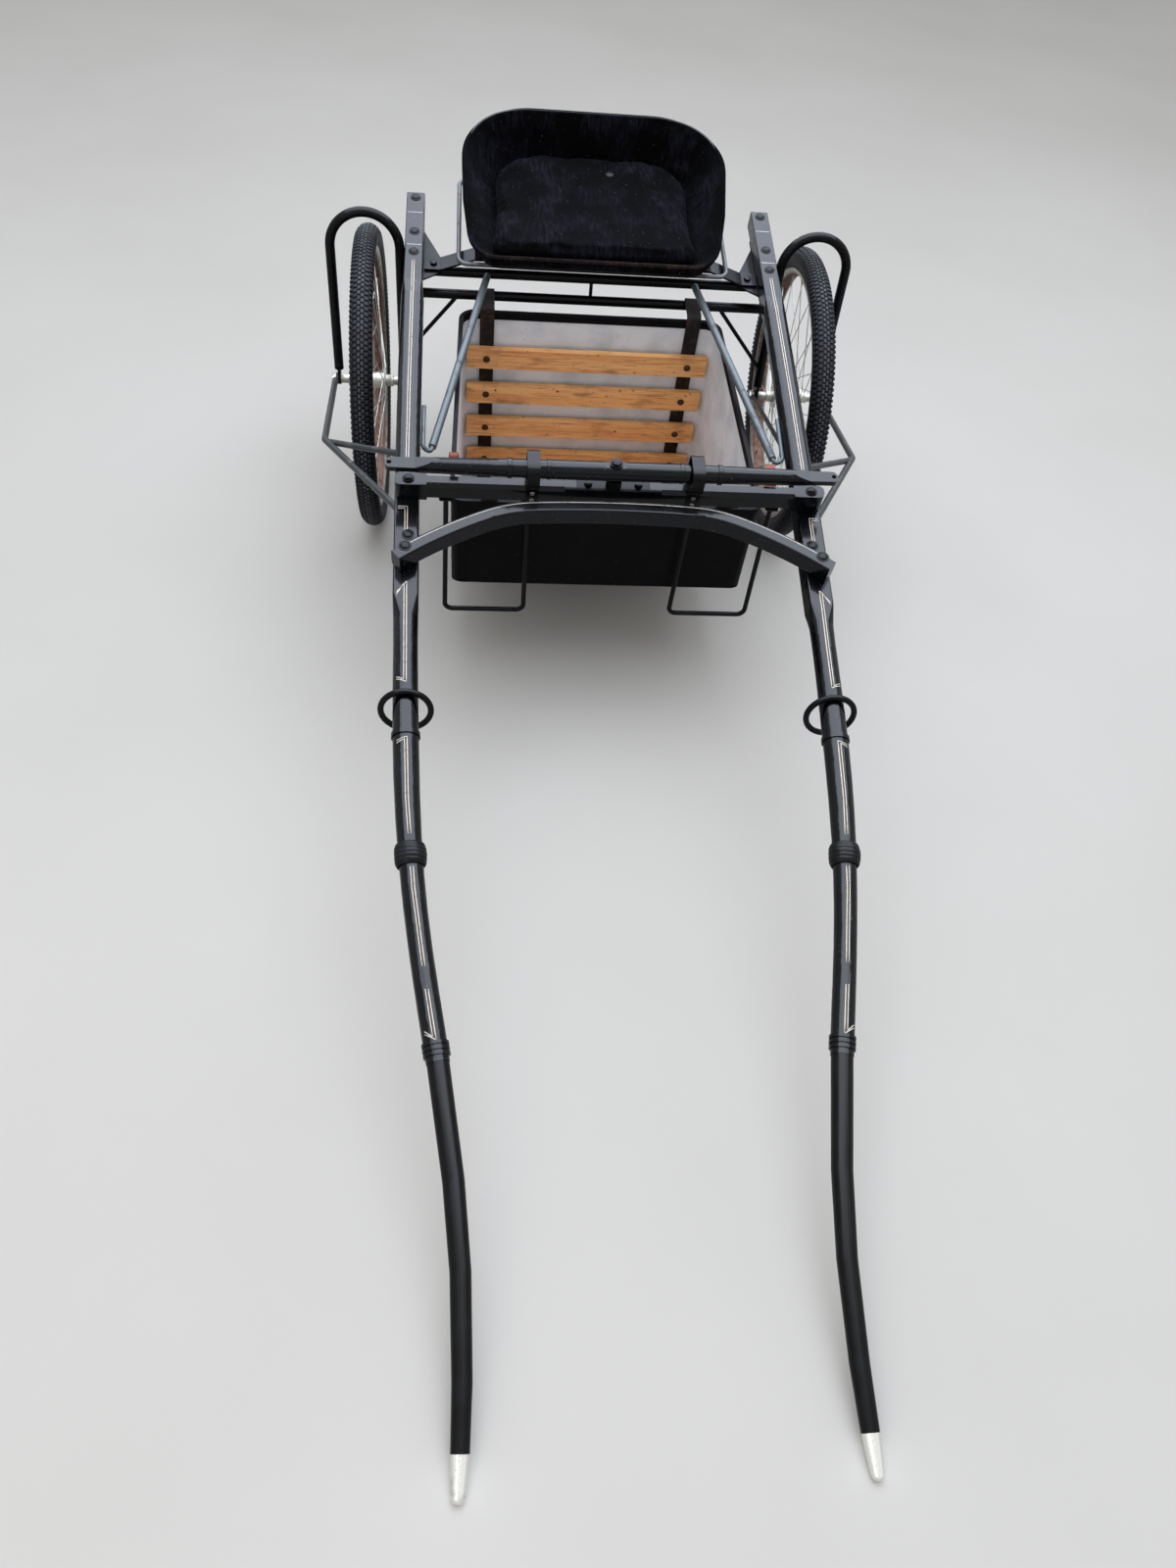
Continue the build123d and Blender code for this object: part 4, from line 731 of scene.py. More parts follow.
# %% [markdown]
# Fasteners. Coach bolts have a low round head with no slot, and they sit wherever wood meets
# wood or iron. One head is modelled from half a sphere and copied to each place. Nuts are
# six-sided bars with their top edge taken off.

# %% Fasteners
def bolt_head(radius_mm, rise_mm):
    """Low round head, flat below."""
    made = added(bpy.ops.mesh.primitive_uv_sphere_add, segments=20, ring_count=12,
                 radius=radius_mm * MM)
    edit(made, lambda: bpy.ops.mesh.bisect(
        plane_co=(0, 0, 0), plane_no=(0, 0, 1), clear_inner=True, use_fill=True))
    made.scale = (1, 1, rise_mm / radius_mm)
    bpy.ops.object.transform_apply(scale=True)
    return made


def nut(radius_mm, height_mm, sides=6):
    """Nut or flat disc standing on z = 0, its edges slightly broken."""
    made = added(bpy.ops.mesh.primitive_cylinder_add, vertices=sides, radius=radius_mm * MM,
                 depth=height_mm * MM, location=(0, 0, height_mm / 2 * MM))
    bpy.ops.object.transform_apply(location=True)
    return with_modifier(made, "BEVEL", width=height_mm * 0.16 * MM, segments=2,
                         limit_method="ANGLE", angle_limit=math.radians(30))


def slotted_head(radius_mm, rise_mm):
    """Pan head with a slot across it."""
    head = nut(radius_mm, rise_mm, sides=20)
    cutter = added(bpy.ops.mesh.primitive_cube_add, size=1.0, location=(0, 0, rise_mm * MM))
    cutter.scale = (3 * radius_mm * MM, 0.22 * radius_mm * MM, rise_mm * MM)
    with_modifier(head, "BOOLEAN", operation="DIFFERENCE", object=cutter, solver="EXACT")
    bpy.data.objects.remove(cutter)
    return head


BAR_V = -633.0
# node (None for the shaft itself), distance from the middle, place along the cart
COACH_BOLTS = [
    (None, 394, 238), (None, 394, 122), (None, 394, 55), (None, 385, -731),
    ("crossbar", 385, BAR_V), ("shaft_bow", 387, -789),
]
heads = [(on_top(node or f"shaft_{name}", side * x, v)[0], UP, 0.0)
         for name, side in SIDES.items() for node, x, v in COACH_BOLTS]
scattered(bolt_head(9.5, 4.5), heads, "coach_bolt_heads", IRON_ENAMEL, "black_iron", smooth=60)
scattered(nut(12.0, 1.0, sides=24), heads, "coach_bolt_washers", IRON_ENAMEL, "black_iron")

# node, distance from the middle, place along the cart, turn of the nut
FRAME_NUTS = [("leaf_spring", 352, 65, 0.3), ("singletree_pivot", 48, BAR_V, 0.5)]
nuts = [(on_top(node, side * x, v)[0], UP, turn)
        for node, x, v, turn in FRAME_NUTS for side in SIDES.values()]
scattered(nut(8.0, 4.5), nuts, "frame_nuts", IRON_ENAMEL, "black_iron")

# %% [markdown]
# Slat screws. Each slat is screwed to the two irons behind or below it, so the screws stand in
# two rows at x = 233 mm. The basket sits in a frame of its own, turned by 5.5 degrees.

# %% Slat screws
BASKET_V, BASKET_W = -3, 215
BASKET_RISE = math.radians(5.5)
BASKET_LENGTH = 612
BASKET_HALF_REAR, BASKET_HALF_FRONT = 292, 308
BASKET_DEEP_REAR, BASKET_DEEP_FRONT = 474, 226
FLOOR_ANGLE = math.atan((BASKET_DEEP_REAR - BASKET_DEEP_FRONT) / BASKET_LENGTH)
IRON_X = 233.0
SLAT_PITCH = 96
BACK_ROW, BACK_FIRST, BACK_COUNT = 13.1, 121, 4
# where the row of floor slats starts, in the basket's frame
FLOOR_ROW, FLOOR_FIRST, FLOOR_COUNT = (-8.8, -464), 112, 5
SCREW_TURN = 0.7


def basket(x, y, z):
    """Scene place of a point of the basket's frame, y rearward and z square to its rim."""
    v = BASKET_V + y * math.cos(BASKET_RISE) + z * math.sin(BASKET_RISE)
    w = BASKET_W - y * math.sin(BASKET_RISE) + z * math.cos(BASKET_RISE)
    return cart(x, v, w)


def hit(node, start, way):
    """Place where a ray meets a node."""
    found, place, _, _ = CAD[node].ray_cast(start, way)
    if not found:
        raise RuntimeError(f"ray misses {node}")
    return place


ahead = (basket(0, -1, 0) - basket(0, 0, 0)).normalized()
floor_up = (basket(0, math.sin(FLOOR_ANGLE), math.cos(FLOOR_ANGLE)) - basket(0, 0, 0)).normalized()
screws = []
turn = 0.0
for side in SIDES.values():
    for number in range(BACK_COUNT):
        start = basket(side * IRON_X, -120, BACK_ROW - BACK_FIRST - number * SLAT_PITCH)
        screws.append((hit("basket_back_slats", start, -ahead), ahead, turn))
        turn += SCREW_TURN
    for number in range(FLOOR_COUNT):
        run = FLOOR_FIRST + number * SLAT_PITCH
        start = basket(side * IRON_X, FLOOR_ROW[0] - run * math.cos(FLOOR_ANGLE),
                       FLOOR_ROW[1] + run * math.sin(FLOOR_ANGLE)) + floor_up * (60 * MM)
        screws.append((hit("basket_floor_slats", start, -floor_up), floor_up, turn))
        turn += SCREW_TURN
scattered(slotted_head(8.0, 2.6), screws, "slat_screws", SCREW_IRON, "old_iron")

# %% [markdown]
# The basket's sheet is black outside and lined inside. The lining is a shell of its own, 0.9 mm
# inside the sheet, made from a tub: a box is bevelled at its upright corners, its top is
# deleted, and its sides get the slight waves of thin board.

# %% Basket lining
LINING_GAP = 0.9
LINING_T = 0.8
LINING_TOP = 17
LINING_CORNER = 26
SHEET_T = 3.0


def basket_lining():
    """Open tub of thin painted board against the inside of the basket's sheet."""
    inset = SHEET_T + LINING_GAP
    slope = math.tan(FLOOR_ANGLE)
    lift = inset / math.cos(FLOOR_ANGLE)
    middle = BASKET_LENGTH / 2
    made = added(bpy.ops.mesh.primitive_cube_add, size=1.0)
    for point in made.data.vertices:
        rear = point.co.y > 0
        half = (BASKET_HALF_REAR if rear else BASKET_HALF_FRONT) - inset
        y = -inset if rear else -BASKET_LENGTH + inset
        z = -LINING_TOP if point.co.z > 0 else -BASKET_DEEP_REAR - y * slope + lift
        point.co = Vector((math.copysign(half, point.co.x), y, z))

    def upright(line):
        a, b = (made.data.vertices[i].co for i in line.vertices)
        return abs(a.x - b.x) < 1 and abs(a.y - b.y) < 1

    alone(made)
    picked(made, "EDGE", upright)
    bpy.ops.mesh.bevel(offset=LINING_CORNER, segments=6)
    picked(made, "FACE", lambda face: face.normal.z > 0.9)
    bpy.ops.mesh.delete(type="FACE")
    bpy.ops.mesh.select_all(action="SELECT")
    bpy.ops.mesh.subdivide(number_cuts=20)
    bpy.ops.object.mode_set(mode="OBJECT")
    for point in made.data.vertices:
        x, y, z = point.co
        slack = noise.noise(Vector((x, y, z)) / 70.0) * 0.5
        shrink = 1 - (0.4 + abs(slack)) / 300
        point.co = basket(x * shrink, -middle + (y + middle) * shrink, z)
    return with_modifier(made, "SOLIDIFY", thickness=LINING_T * MM, offset=0.0)


settled(basket_lining(), "basket_lining", LINING, "basket_sheet", smooth=40)

# %% [markdown]
# Balloon tyres with a block tread. The carcass is a torus, flattened where it sits in the rim,
# and the tread repeats 176 times round the wheel. So one slice of six small tapered blocks is
# modelled and an Array modifier turns it round an empty at the wheel's centre.

# %% Tyres
RIM_SEAT_R = 290.9
TREAD_COUNT = 176
# lean in degrees, place round the tyre, width across, length round and radius of the top in mm
TREAD_SLICE = [
    (-8, 0.0, 6.0, 8.4, 27.0), (8, 6.0, 6.0, 8.4, 27.0), (-29, 6.0, 9.2, 8.2, 26.9),
    (29, 0.0, 9.2, 8.2, 26.9), (-57, 0.0, 11.0, 7.6, 26.7), (57, 6.0, 11.0, 7.6, 26.7),
]


def carcass():
    """Smooth tyre body round the x axis, flattened at the rim."""
    made = added(bpy.ops.mesh.primitive_torus_add, major_radius=TYRE_CENTRE_R * MM,
                 minor_radius=CARCASS_R * MM, major_segments=144, minor_segments=28,
                 rotation=(0, math.pi / 2, 0))
    bpy.ops.object.transform_apply(rotation=True)
    for point in made.data.vertices:
        r = math.hypot(point.co.y, point.co.z)
        if r < RIM_SEAT_R * MM:
            point.co.y *= RIM_SEAT_R * MM / r
            point.co.z *= RIM_SEAT_R * MM / r
    return made


def tread_block(lean_deg, ahead_mm, across_mm, around_mm, top_r_mm):
    """One tapered rubber block on the carcass, leaning by an angle from the wheel's plane."""
    made = added(bpy.ops.mesh.primitive_cube_add, size=1.0)
    for point in made.data.vertices:
        top = point.co.z > 0
        taper = 0.8 if top else 1.0
        point.co = Vector((point.co.x * across_mm * taper, point.co.y * around_mm * taper,
                           top_r_mm if top else CARCASS_R - 0.8)) * MM
    with_modifier(made, "BEVEL", width=0.5 * MM, segments=1)
    lean = Matrix.Rotation(math.radians(lean_deg), 4, "Y")
    lift = Matrix.Translation((0, 0, TYRE_CENTRE_R * MM))
    onward = Matrix.Rotation(ahead_mm / (TYRE_CENTRE_R + CARCASS_R), 4, "X")
    made.data.transform(onward @ lift @ lean)
    return made


def tread():
    """All the blocks of one tyre round the x axis."""
    made = joined([tread_block(*block) for block in TREAD_SLICE])
    turner = bpy.data.objects.new("tread_turner", None)
    bpy.context.scene.collection.objects.link(turner)
    turner.rotation_euler = (2 * math.pi / TREAD_COUNT, 0, 0)
    bpy.context.view_layer.update()
    with_modifier(made, "ARRAY", count=TREAD_COUNT, use_relative_offset=False,
                  use_object_offset=True, offset_object=turner)
    bpy.data.objects.remove(turner)
    return made


for name, centre in WHEEL_CENTRES.items():
    tyre = joined([carcass(), tread()])
    tyre.location = centre
    settled(tyre, f"tyre_{name}", RUBBER, "tyre_rubber", body=f"wheel_{name}", smooth=30)
    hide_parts(f"wheel_{name}_tyre")

# %% [markdown]
# Where a spoke meets the rim there is a steel nipple, and one valve stands inward from each
# rim. The nipples are small tapered sleeves; their places are the ends of the real spokes.

# %% Nipples and valves
RIM_IN_R = 275.0
SPOKE_COUNT = 36
SPOKE_WRAP = math.radians(52)
# places of a spoke's two ends: beside the wheel's plane in mm, from its axis in m
RIM_END_X, RIM_END_R = 4, 0.2747
HUB_END_X, HUB_END_SHIFT, HUB_END_R = 30, 2.2, 0.028
NIPPLE_LENGTH = 13
VALVE_ANGLE = math.radians(215)


def round_wheel(x_mm, angle, radius_m):
    """Place beside a wheel's plane and round its axis, from its centre."""
    return Vector((x_mm * MM, math.cos(angle) * radius_m, math.sin(angle) * radius_m))


for name, centre in WHEEL_CENTRES.items():
    sleeves = []
    for index in range(SPOKE_COUNT):
        flange = 1 if index % 2 else -1
        lead = 1 if index % 4 < 2 else -1
        outer = 2 * math.pi * index / SPOKE_COUNT
        inner = outer + lead * SPOKE_WRAP
        rim_end = centre + round_wheel(flange * RIM_END_X, outer, RIM_END_R)
        hub_end = centre + round_wheel(flange * HUB_END_X + lead * HUB_END_SHIFT, inner, HUB_END_R)
        sleeves.append((rim_end, (hub_end - rim_end).normalized(), 0.0))
    sleeve = added(bpy.ops.mesh.primitive_cone_add, vertices=10, radius1=2.6 * MM, radius2=1.5 * MM,
                   depth=NIPPLE_LENGTH * MM, location=(0, 0, NIPPLE_LENGTH / 2 * MM))
    bpy.ops.object.transform_apply(location=True)
    scattered(sleeve, sleeves, f"nipples_{name}", TURNED, "spoke_steel", body=f"wheel_{name}")
    stem = nut(3.4, 30, sides=14)
    cap = nut(4.4, 9, sides=14)
    cap.location = (0, 0, 27 * MM)
    valve = joined([stem, cap])
    bpy.ops.object.transform_apply(location=True)
    way = Vector((0, -math.cos(VALVE_ANGLE), -math.sin(VALVE_ANGLE)))
    stood(valve, centre - way * (RIM_IN_R * MM), way)
    settled(valve, f"tyre_valve_{name}", TURNED, "spoke_steel", body=f"wheel_{name}")

# %% [markdown]
# Axle nuts outside and inside each wheel, and a washer under each. A nut is six-sided, with
# its corners turned off, so a plain CAD disc is dressed with a real hexagon.

# %% Axle nuts
FORK_FACE_X = 82.6
NUT_LIFT = 1.4
nut_places, washer_places = [], []
for centre in WHEEL_CENTRES.values():
    for turn in (-1, 1):
        out = Vector((turn, 0, 0))
        face = centre + Vector((turn * FORK_FACE_X * MM, 0, 0))
        nut_places.append((face + Vector((turn * NUT_LIFT * MM, 0, 0)), out, 0.2 * turn))
        washer_places.append((face, out, 0.0))
scattered(nut(12.4, 8.6), nut_places, "axle_nuts", TURNED, "axle_steel")
scattered(nut(15.0, 1.6, sides=28), washer_places, "axle_washers", TURNED, "axle_steel")

# %% [markdown]
# The two stops on the shafts are bound with many turns of cotton tape. Each turn laps over the
# last and sags a little, so the surface is a grid rolled into a tube whose radius has a ridge
# for every turn and a slow lumpiness, and it runs down to the shaft at both ends.

# %% Bound stops
STOP_V = -1368.0
STOP_REACH = 40
STOP_FALL = 5.1
STOP_HALF = 20.0
STOP_BORE_R = 21.4
TAPE_TURNS = 5.0
for name, side in SIDES.items():
    low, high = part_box(f"shaft_stop_{name}")
    centre = (Vector(low) + Vector(high)) / 2
    front = cart(side * shaft_x(STOP_V - STOP_REACH), -STOP_REACH, -STOP_FALL)
    way = (front - cart(side * shaft_x(STOP_V + STOP_REACH), STOP_REACH, 0)).normalized()
    lean = way.to_track_quat("Z", "Y").to_matrix().to_4x4()

    def wrap(s, t, seed=side * 3.7):
        """Point of the tape's surface at share s round it and t along it."""
        angle = 2 * math.pi * s
        turn = t * TAPE_TURNS + s
        lap = 1.1 * (1 - abs((turn % 1.0) * 2 - 1) ** 3)
        lump = 1.3 * noise.noise(
            Vector((math.cos(angle) * 1.4, math.sin(angle) * 1.4, t * 2 + seed)))
        body = 4.4 * math.sin(math.pi * min(1, max(0, t))) ** 0.45
        r = STOP_BORE_R + 0.5 + body + (lap + lump) * math.sin(math.pi * t) ** 0.5
        along = (t - 0.5) * 2 * STOP_HALF * 0.985
        return Vector((math.cos(angle) * r, math.sin(angle) * r, along)) * MM

    tape = grid_piece(72, 60, wrap)
    edit(tape, lambda: bpy.ops.mesh.remove_doubles(threshold=1e-5))
    with_modifier(tape, "SOLIDIFY", thickness=0.6 * MM, offset=-1.0)
    tape.matrix_world = Matrix.Translation(centre) @ lean
    settled(tape, f"tape_binding_{name}", TAPE, "black_leather", smooth=50)
    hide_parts(f"shaft_stop_{name}")

# %% [markdown]
# The seat. It is a shallow steel bucket, covered with one piece of corduroy that is pulled over
# its edge, and a separate round-cornered pad lies in it. Cover and pad follow the bucket's own
# outline, so that outline is a function: share of the way round, height, and distance inward.

# %% Seat outline
PAN_FRONT_V = 19.0
PAN_LOW = 308.272
# height, half width, depth, radius of the front corners, radius of the back corners
PAN_SECTIONS = [
    (0.0, 250.0, 362.0, 46.0, 122.0), (30.0, 273.0, 367.0, 58.0, 140.0),
    (72.0, 286.0, 369.0, 66.0, 152.0), (132.0, 291.0, 370.0, 70.0, 158.0),
]
# distance from the front, height of the edge
PAN_EDGE = [(-30, 18), (30, 24), (120, 70), (230, 112), (420, 130)]
EDGE_LEVEL = 60
# where the front corner, the side, the back corner and the back begin, as shares of one half,
# and how long each of them is
CORNER_FROM, SIDE_FROM, BEND_FROM, BACK_FROM = 0.27, 0.38, 0.58, 0.84
CORNER_SHARE, SIDE_SHARE, BEND_SHARE, BACK_SHARE = 0.11, 0.20, 0.26, 0.16


def between(rows, key):
    """Row of numbers at a key, between the rows of a table."""
    key = min(max(key, rows[0][0]), rows[-1][0])
    for low, high in zip(rows, rows[1:]):
        if key <= high[0]:
            share = (key - low[0]) / (high[0] - low[0])
            return [a + share * (b - a) for a, b in zip(low[1:], high[1:])]
    return list(rows[-1][1:])


def half_share(s):
    """Share of one half of the way round, 0 in the middle of the front and 1 of the back."""
    return 2 * s if s <= 0.5 else 2 - 2 * s


def seat_point(s, height, inset):
    """Place (x, run) on the seat's outline: s = 0 and 1 in the middle of the front."""
    half, depth, front_r, back_r = between(PAN_SECTIONS, height)
    half, depth, front_r, back_r = half - inset, depth - 2 * inset, front_r - inset, back_r - inset
    sign, h = 1 if s <= 0.5 else -1, half_share(s)
    if h < CORNER_FROM:
        x, run = h / CORNER_FROM * (half - front_r), 0
    elif h < SIDE_FROM:
        a = (h - CORNER_FROM) / CORNER_SHARE * math.pi / 2
        x, run = half - front_r + front_r * math.sin(a), front_r - front_r * math.cos(a)
    elif h < BEND_FROM:
        x, run = half, front_r + (h - SIDE_FROM) / SIDE_SHARE * (depth - front_r - back_r)
    elif h < BACK_FROM:
        a = (h - BEND_FROM) / BEND_SHARE * math.pi / 2
        x, run = half - back_r + back_r * math.cos(a), depth - back_r + back_r * math.sin(a)
    else:
        x, run = (1 - h) / BACK_SHARE * (half - back_r), depth
    return sign * x, run + inset


def edge_height(run):
    """Height of the bucket's edge, smoothed along its side."""
    nearby = [between(PAN_EDGE, run + d)[0] for d in (-30, -15, 0, 15, 30)]
    return sum(nearby) / len(nearby)


def edge_at(s):
    """Height of the bucket's edge at a share of the way round."""
    return edge_height(seat_point(s, EDGE_LEVEL, 0)[1])


def seat_place(s, height, inset):
    """Scene place on the seat's outline."""
    x, run = seat_point(s, height, inset)
    return cart(x, PAN_FRONT_V + run, PAN_LOW + height)


print("edge of the bucket at its back:", round(edge_height(365), 1), "mm above its underside")

# %% [markdown]
# The cover starts tucked in under the pad, goes up the inside of the wall over thin padding,
# rolls over the edge and ends in a hem outside. Round the back corners the cloth is gathered,
# which leaves a row of soft pleats that are deepest at the bottom.

# %% Seat cover
COVER_COLUMNS = 420
COVER_ROWS = 30
TUCK = 16.0
# shares of the cover's depth where its roll over the edge and its hem begin, and their lengths
ROLL_FROM, HEM_FROM = 0.62, 0.78
ROLL_SHARE, HEM_SHARE = 0.16, 0.22
# share of one half of the way round, reach of the padded wall's foot in mm
WALL_FOOT = [(0.0, 12), (0.24, 13), (0.36, 28), (0.50, 34), (0.66, 30), (0.84, 16), (1.0, 11)]


def pleats(s, t):
    """0 to 1: how deep the gathers are at a share of the way round."""
    h = half_share(s)
    corner = max(0.0, 1 - ((h - 0.68) / 0.20) ** 2)
    front = max(0.0, 1 - ((h - 0.34) / 0.09) ** 2)
    window = max(0.45 if h > 0.4 else 0.0, corner, 0.8 * front)
    window *= 0.75 + 0.9 * noise.noise(Vector((s * 17, 5.0, 1.0)))
    drift = 2.2 * noise.noise(Vector((s * 31, t * 1.6, 2.0)))
    return window * (0.5 + 0.5 * math.cos((h * 34 + drift) * 2 * math.pi)) ** 1.6


def wall_foot(s):
    """How far the padded wall reaches inward at its foot, in mm."""
    return between(WALL_FOOT, half_share(s))[0]


def cover_at(s, t):
    """Point of the cover from the bucket's floor (t = 0) over its edge to the hem (t = 1)."""
    edge = edge_at(s)
    turn = 2 * math.pi * s
    slack = noise.noise(Vector((math.cos(turn) * 4, math.sin(turn) * 4, t * 3)))
    if t < ROLL_FROM:
        q = t / ROLL_FROM
        height = 8 + q * (edge - 5)
        slope = (wall_foot(s) - 6) * (1 - q) ** 1.3
        padding = min(8.0, 2.0 + edge / 10) * math.sin(math.pi * min(1, q + 0.04)) ** 0.6
        inset = 5.8 + slope + padding + slack * 1.5 + 5.0 * pleats(s, t) * (1 - 0.6 * q)
        if t == 0:
            height, inset = 6.5, inset + TUCK
    elif t < HEM_FROM:
        a = (t - ROLL_FROM) / ROLL_SHARE * math.pi
        height = edge + 3.0 + 3.4 * math.sin(a)
        inset = 2.0 + 4.0 * math.cos(a)
    else:
        q = (t - HEM_FROM) / HEM_SHARE
        height = edge + 3.0 - q * 15
        inset = -2.0 - 0.5 * math.sin(math.pi * q) - 0.3 * slack
    return seat_place(s, height, inset)


cover = grid_piece(COVER_COLUMNS, COVER_ROWS, cover_at)
with_modifier(cover, "SOLIDIFY", thickness=1.0 * MM, offset=0.0)
settled(cover, "seat_cover", CORDUROY, "velvet", smooth=60)

# %% [markdown]
# The pad lies on the bottom of the bucket, from wall foot to wall foot. It is stuffed, higher
# at its back, and held down by one button. The stuffing is a short cloth simulation with
# pressure inside; the cap keeps it from swelling into the walls.

# %% Seat pad
PAD_T = 15.0
PAD_FOOT = 14
PAD_FLOOR = 5.2
PAD_POINTS = 96
PAD_SWELL = 13.0
PAD_BACK_RISE = 11.0
FRAMES = 20
BUTTON_PLACE = (42.0, 298.0)
BUTTON_PULL = 6.0
BUTTON_REACH = 0.035


def pad_shape():
    """Flat pad with the bucket's outline, ready to be inflated."""
    shares = [k / PAD_POINTS for k in range(PAD_POINTS)]
    rim = [seat_place(s, PAD_FOOT, wall_foot(s)) for s in shares]
    made = added(bpy.ops.mesh.primitive_circle_add, vertices=PAD_POINTS, radius=1.0,
                 fill_type="NGON")
    for point, spot in zip(made.data.vertices, rim):
        point.co = spot
    edit(made, lambda: bpy.ops.mesh.extrude_region_move(
        TRANSFORM_OT_translate={"value": UP * (PAD_T * MM)}))
    return with_modifier(made, "REMESH", mode="VOXEL", voxel_size=0.0055)


def inflated(obj, cap_mm):
    """Swell a closed mesh with cloth pressure and keep each point within a cap."""
    start = [point.co.copy() for point in obj.data.vertices]
    alone(obj)
    cloth = obj.modifiers.new("stuffing", "CLOTH")
    cloth.settings.use_pressure = True
    cloth.settings.uniform_pressure_force = 4.0
    cloth.settings.effector_weights.gravity = 0.0
    cloth.settings.quality = 6
    cloth.point_cache.frame_start = 1
    cloth.point_cache.frame_end = FRAMES
    for number in range(1, FRAMES + 1):
        bpy.context.scene.frame_set(number)
    bpy.ops.object.modifier_apply(modifier=cloth.name)
    bpy.context.scene.frame_set(1)
    for point, old in zip(obj.data.vertices, start):
        moved = point.co - old
        if moved.length > cap_mm * MM:
            point.co = old + moved.normalized() * (cap_mm * MM)
    return obj


def above_pan(place):
    """Height of a place above the bucket's underside, in mm."""
    return (place - AXLE).dot(UP) / MM - PAN_LOW


pad = pad_shape()
inflated(pad, PAD_SWELL)
button = cart(*BUTTON_PLACE, PAN_LOW + 24)
for point in pad.data.vertices:
    across = point.co - button
    reach = (across - UP * across.dot(UP)).length
    if above_pan(point.co) > PAD_FOOT:
        pull = BUTTON_PULL * math.exp(-(reach / BUTTON_REACH) ** 2)
        fold = 2.2 * noise.noise(point.co * 11.0) + 0.9 * noise.noise(point.co * 34.0)
        back = (point.co - AXLE).dot(REARWARD) / MM - PAN_FRONT_V
        crown = PAD_BACK_RISE * min(1.0, max(0.0, (back - 120) / 160)) ** 1.5
        point.co += UP * ((fold + crown - pull) * MM)
    if above_pan(point.co) < PAD_FLOOR:
        point.co += UP * ((PAD_FLOOR - above_pan(point.co)) * MM)
with_modifier(pad, "SUBSURF", levels=1, render_levels=1)
settled(pad, "seat_pad", CORDUROY, "velvet", smooth=180)
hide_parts("seat_cushion")

# %% [markdown]
# The edge of the cover is finished with a rolled welt, and the front edge is rubbed brown where
# the driver's legs slide over it. Both are strips that follow the same outline a little higher.
# A ray finds the top of the pad, where the button goes.

# %% Welt, worn front edge and button
WELT_R = 2.6
WORN_SHARE = 0.30


def welt_at(s, t):
    """Point of the rolled seam round the seat's edge."""
    edge = edge_at(s)
    a = 2 * math.pi * t
    return seat_place(s, edge + 5.2 + WELT_R * math.sin(a), 0.6 + WELT_R * math.cos(a))


welt = grid_piece(COVER_COLUMNS, 8, welt_at)
settled(welt, "seat_welt", CORDUROY, "velvet", smooth=60)


def worn_at(s, t):
    """Point of the rubbed strip over the front edge."""
    share = (s - 0.5) * WORN_SHARE
    around = share if share >= 0 else 1 + share
    edge = edge_at(around)
    a = (t - 0.15) * math.pi
    ragged = 0.8 * noise.noise(Vector((s * 14, t * 2, 0.0)))
    height = edge + 4.4 + 4.6 * math.sin(a) - (2 if t > 0.9 else 0)
    return seat_place(around, height, 1.4 + (5.2 + ragged) * math.cos(a))


worn = grid_piece(160, 8, worn_at)
with_modifier(worn, "SOLIDIFY", thickness=0.8 * MM, offset=0.0)
settled(worn, "worn_front_edge", WORN_EDGE, "velvet", smooth=60)

tuft = bolt_head(11.0, 5.0)
found = pad.ray_cast(cart(*BUTTON_PLACE, 0) + UP * 0.6, -UP)
stood(tuft, found[1] - UP * 0.001, UP)
settled(tuft, "seat_button", TAPE, "velvet", smooth=60)

# %% [markdown]
# Two curled ends of a strap are left on the crossbar, red-brown like the leather they were cut
# from. One is a flat leaf and the other has curled into a loop.

# %% Leather tabs
TAB_WIDTH = 22
TAB_T = 2.2


def tab_strip(centre_x, curl):
    """Short strip of leather behind the crossbar, flat or curled."""
    def place(s, t):
        x = centre_x + (s - 0.5) * TAB_WIDTH * (1 - 0.3 * t)
        if curl:
            a = -0.5 + 4.6 * t
            v = -604 + 11 * math.sin(a) + 6 * t
            w = 356 + 12 * (1 - math.cos(a)) * 0.9 + 6 * t
            return cart(x, v, w)
        return cart(x, -626 + 44 * t, 352.0 + 22 * t * (1.6 - t) + 2.4 * math.sin(3 * t))

    made = grid_piece(6, 24, place)
    return with_modifier(made, "SOLIDIFY", thickness=TAB_T * MM, offset=0.0)


settled(tab_strip(-301, True), "curled_leather_tab", RED_HIDE, "black_leather", smooth=60)
settled(tab_strip(305, False), "flat_leather_tab", RED_HIDE, "black_leather", smooth=60)

# %% [markdown]
# The centre of the singletree carries the nut of its pivot bolt, and the two leather keepers
# are screwed to the crossbar. Small as they are, these show at first glance.

# %% Pivot nut and keeper fasteners
# middle of the singletree, half its height, head of the pivot bolt
TREE_TOP = 386.082 + 16.5 + 5.3
KEEPER_X = 154
KEEPER_FACE = 18.9
KEEPER_SCREW_W = (322, 340)
pivot_top = cart(0, BAR_V, TREE_TOP + 0.2)
settled(stood(nut(9.5, 4.5), pivot_top, UP, 0.35), "pivot_nut", IRON_ENAMEL, "black_iron")
keeper_screws = [
    (cart(side * KEEPER_X, BAR_V + turn * KEEPER_FACE, w), REARWARD * turn, 0.3 * turn)
    for side in SIDES.values() for turn in (-1, 1) for w in KEEPER_SCREW_W
]
scattered(bolt_head(4.6, 2.2), keeper_screws, "keeper_screws", TURNED, "black_iron", smooth=60)

# %% [markdown]
# The floor is a plain pale sheet, not part of the cart. The light is one large soft panel
# overhead with a weak one at the front, and the world looks white and adds a soft fill. A wide
# panel that only shows in reflections stands for the open sky: it gives the black varnish its
# long blue-grey highlights.

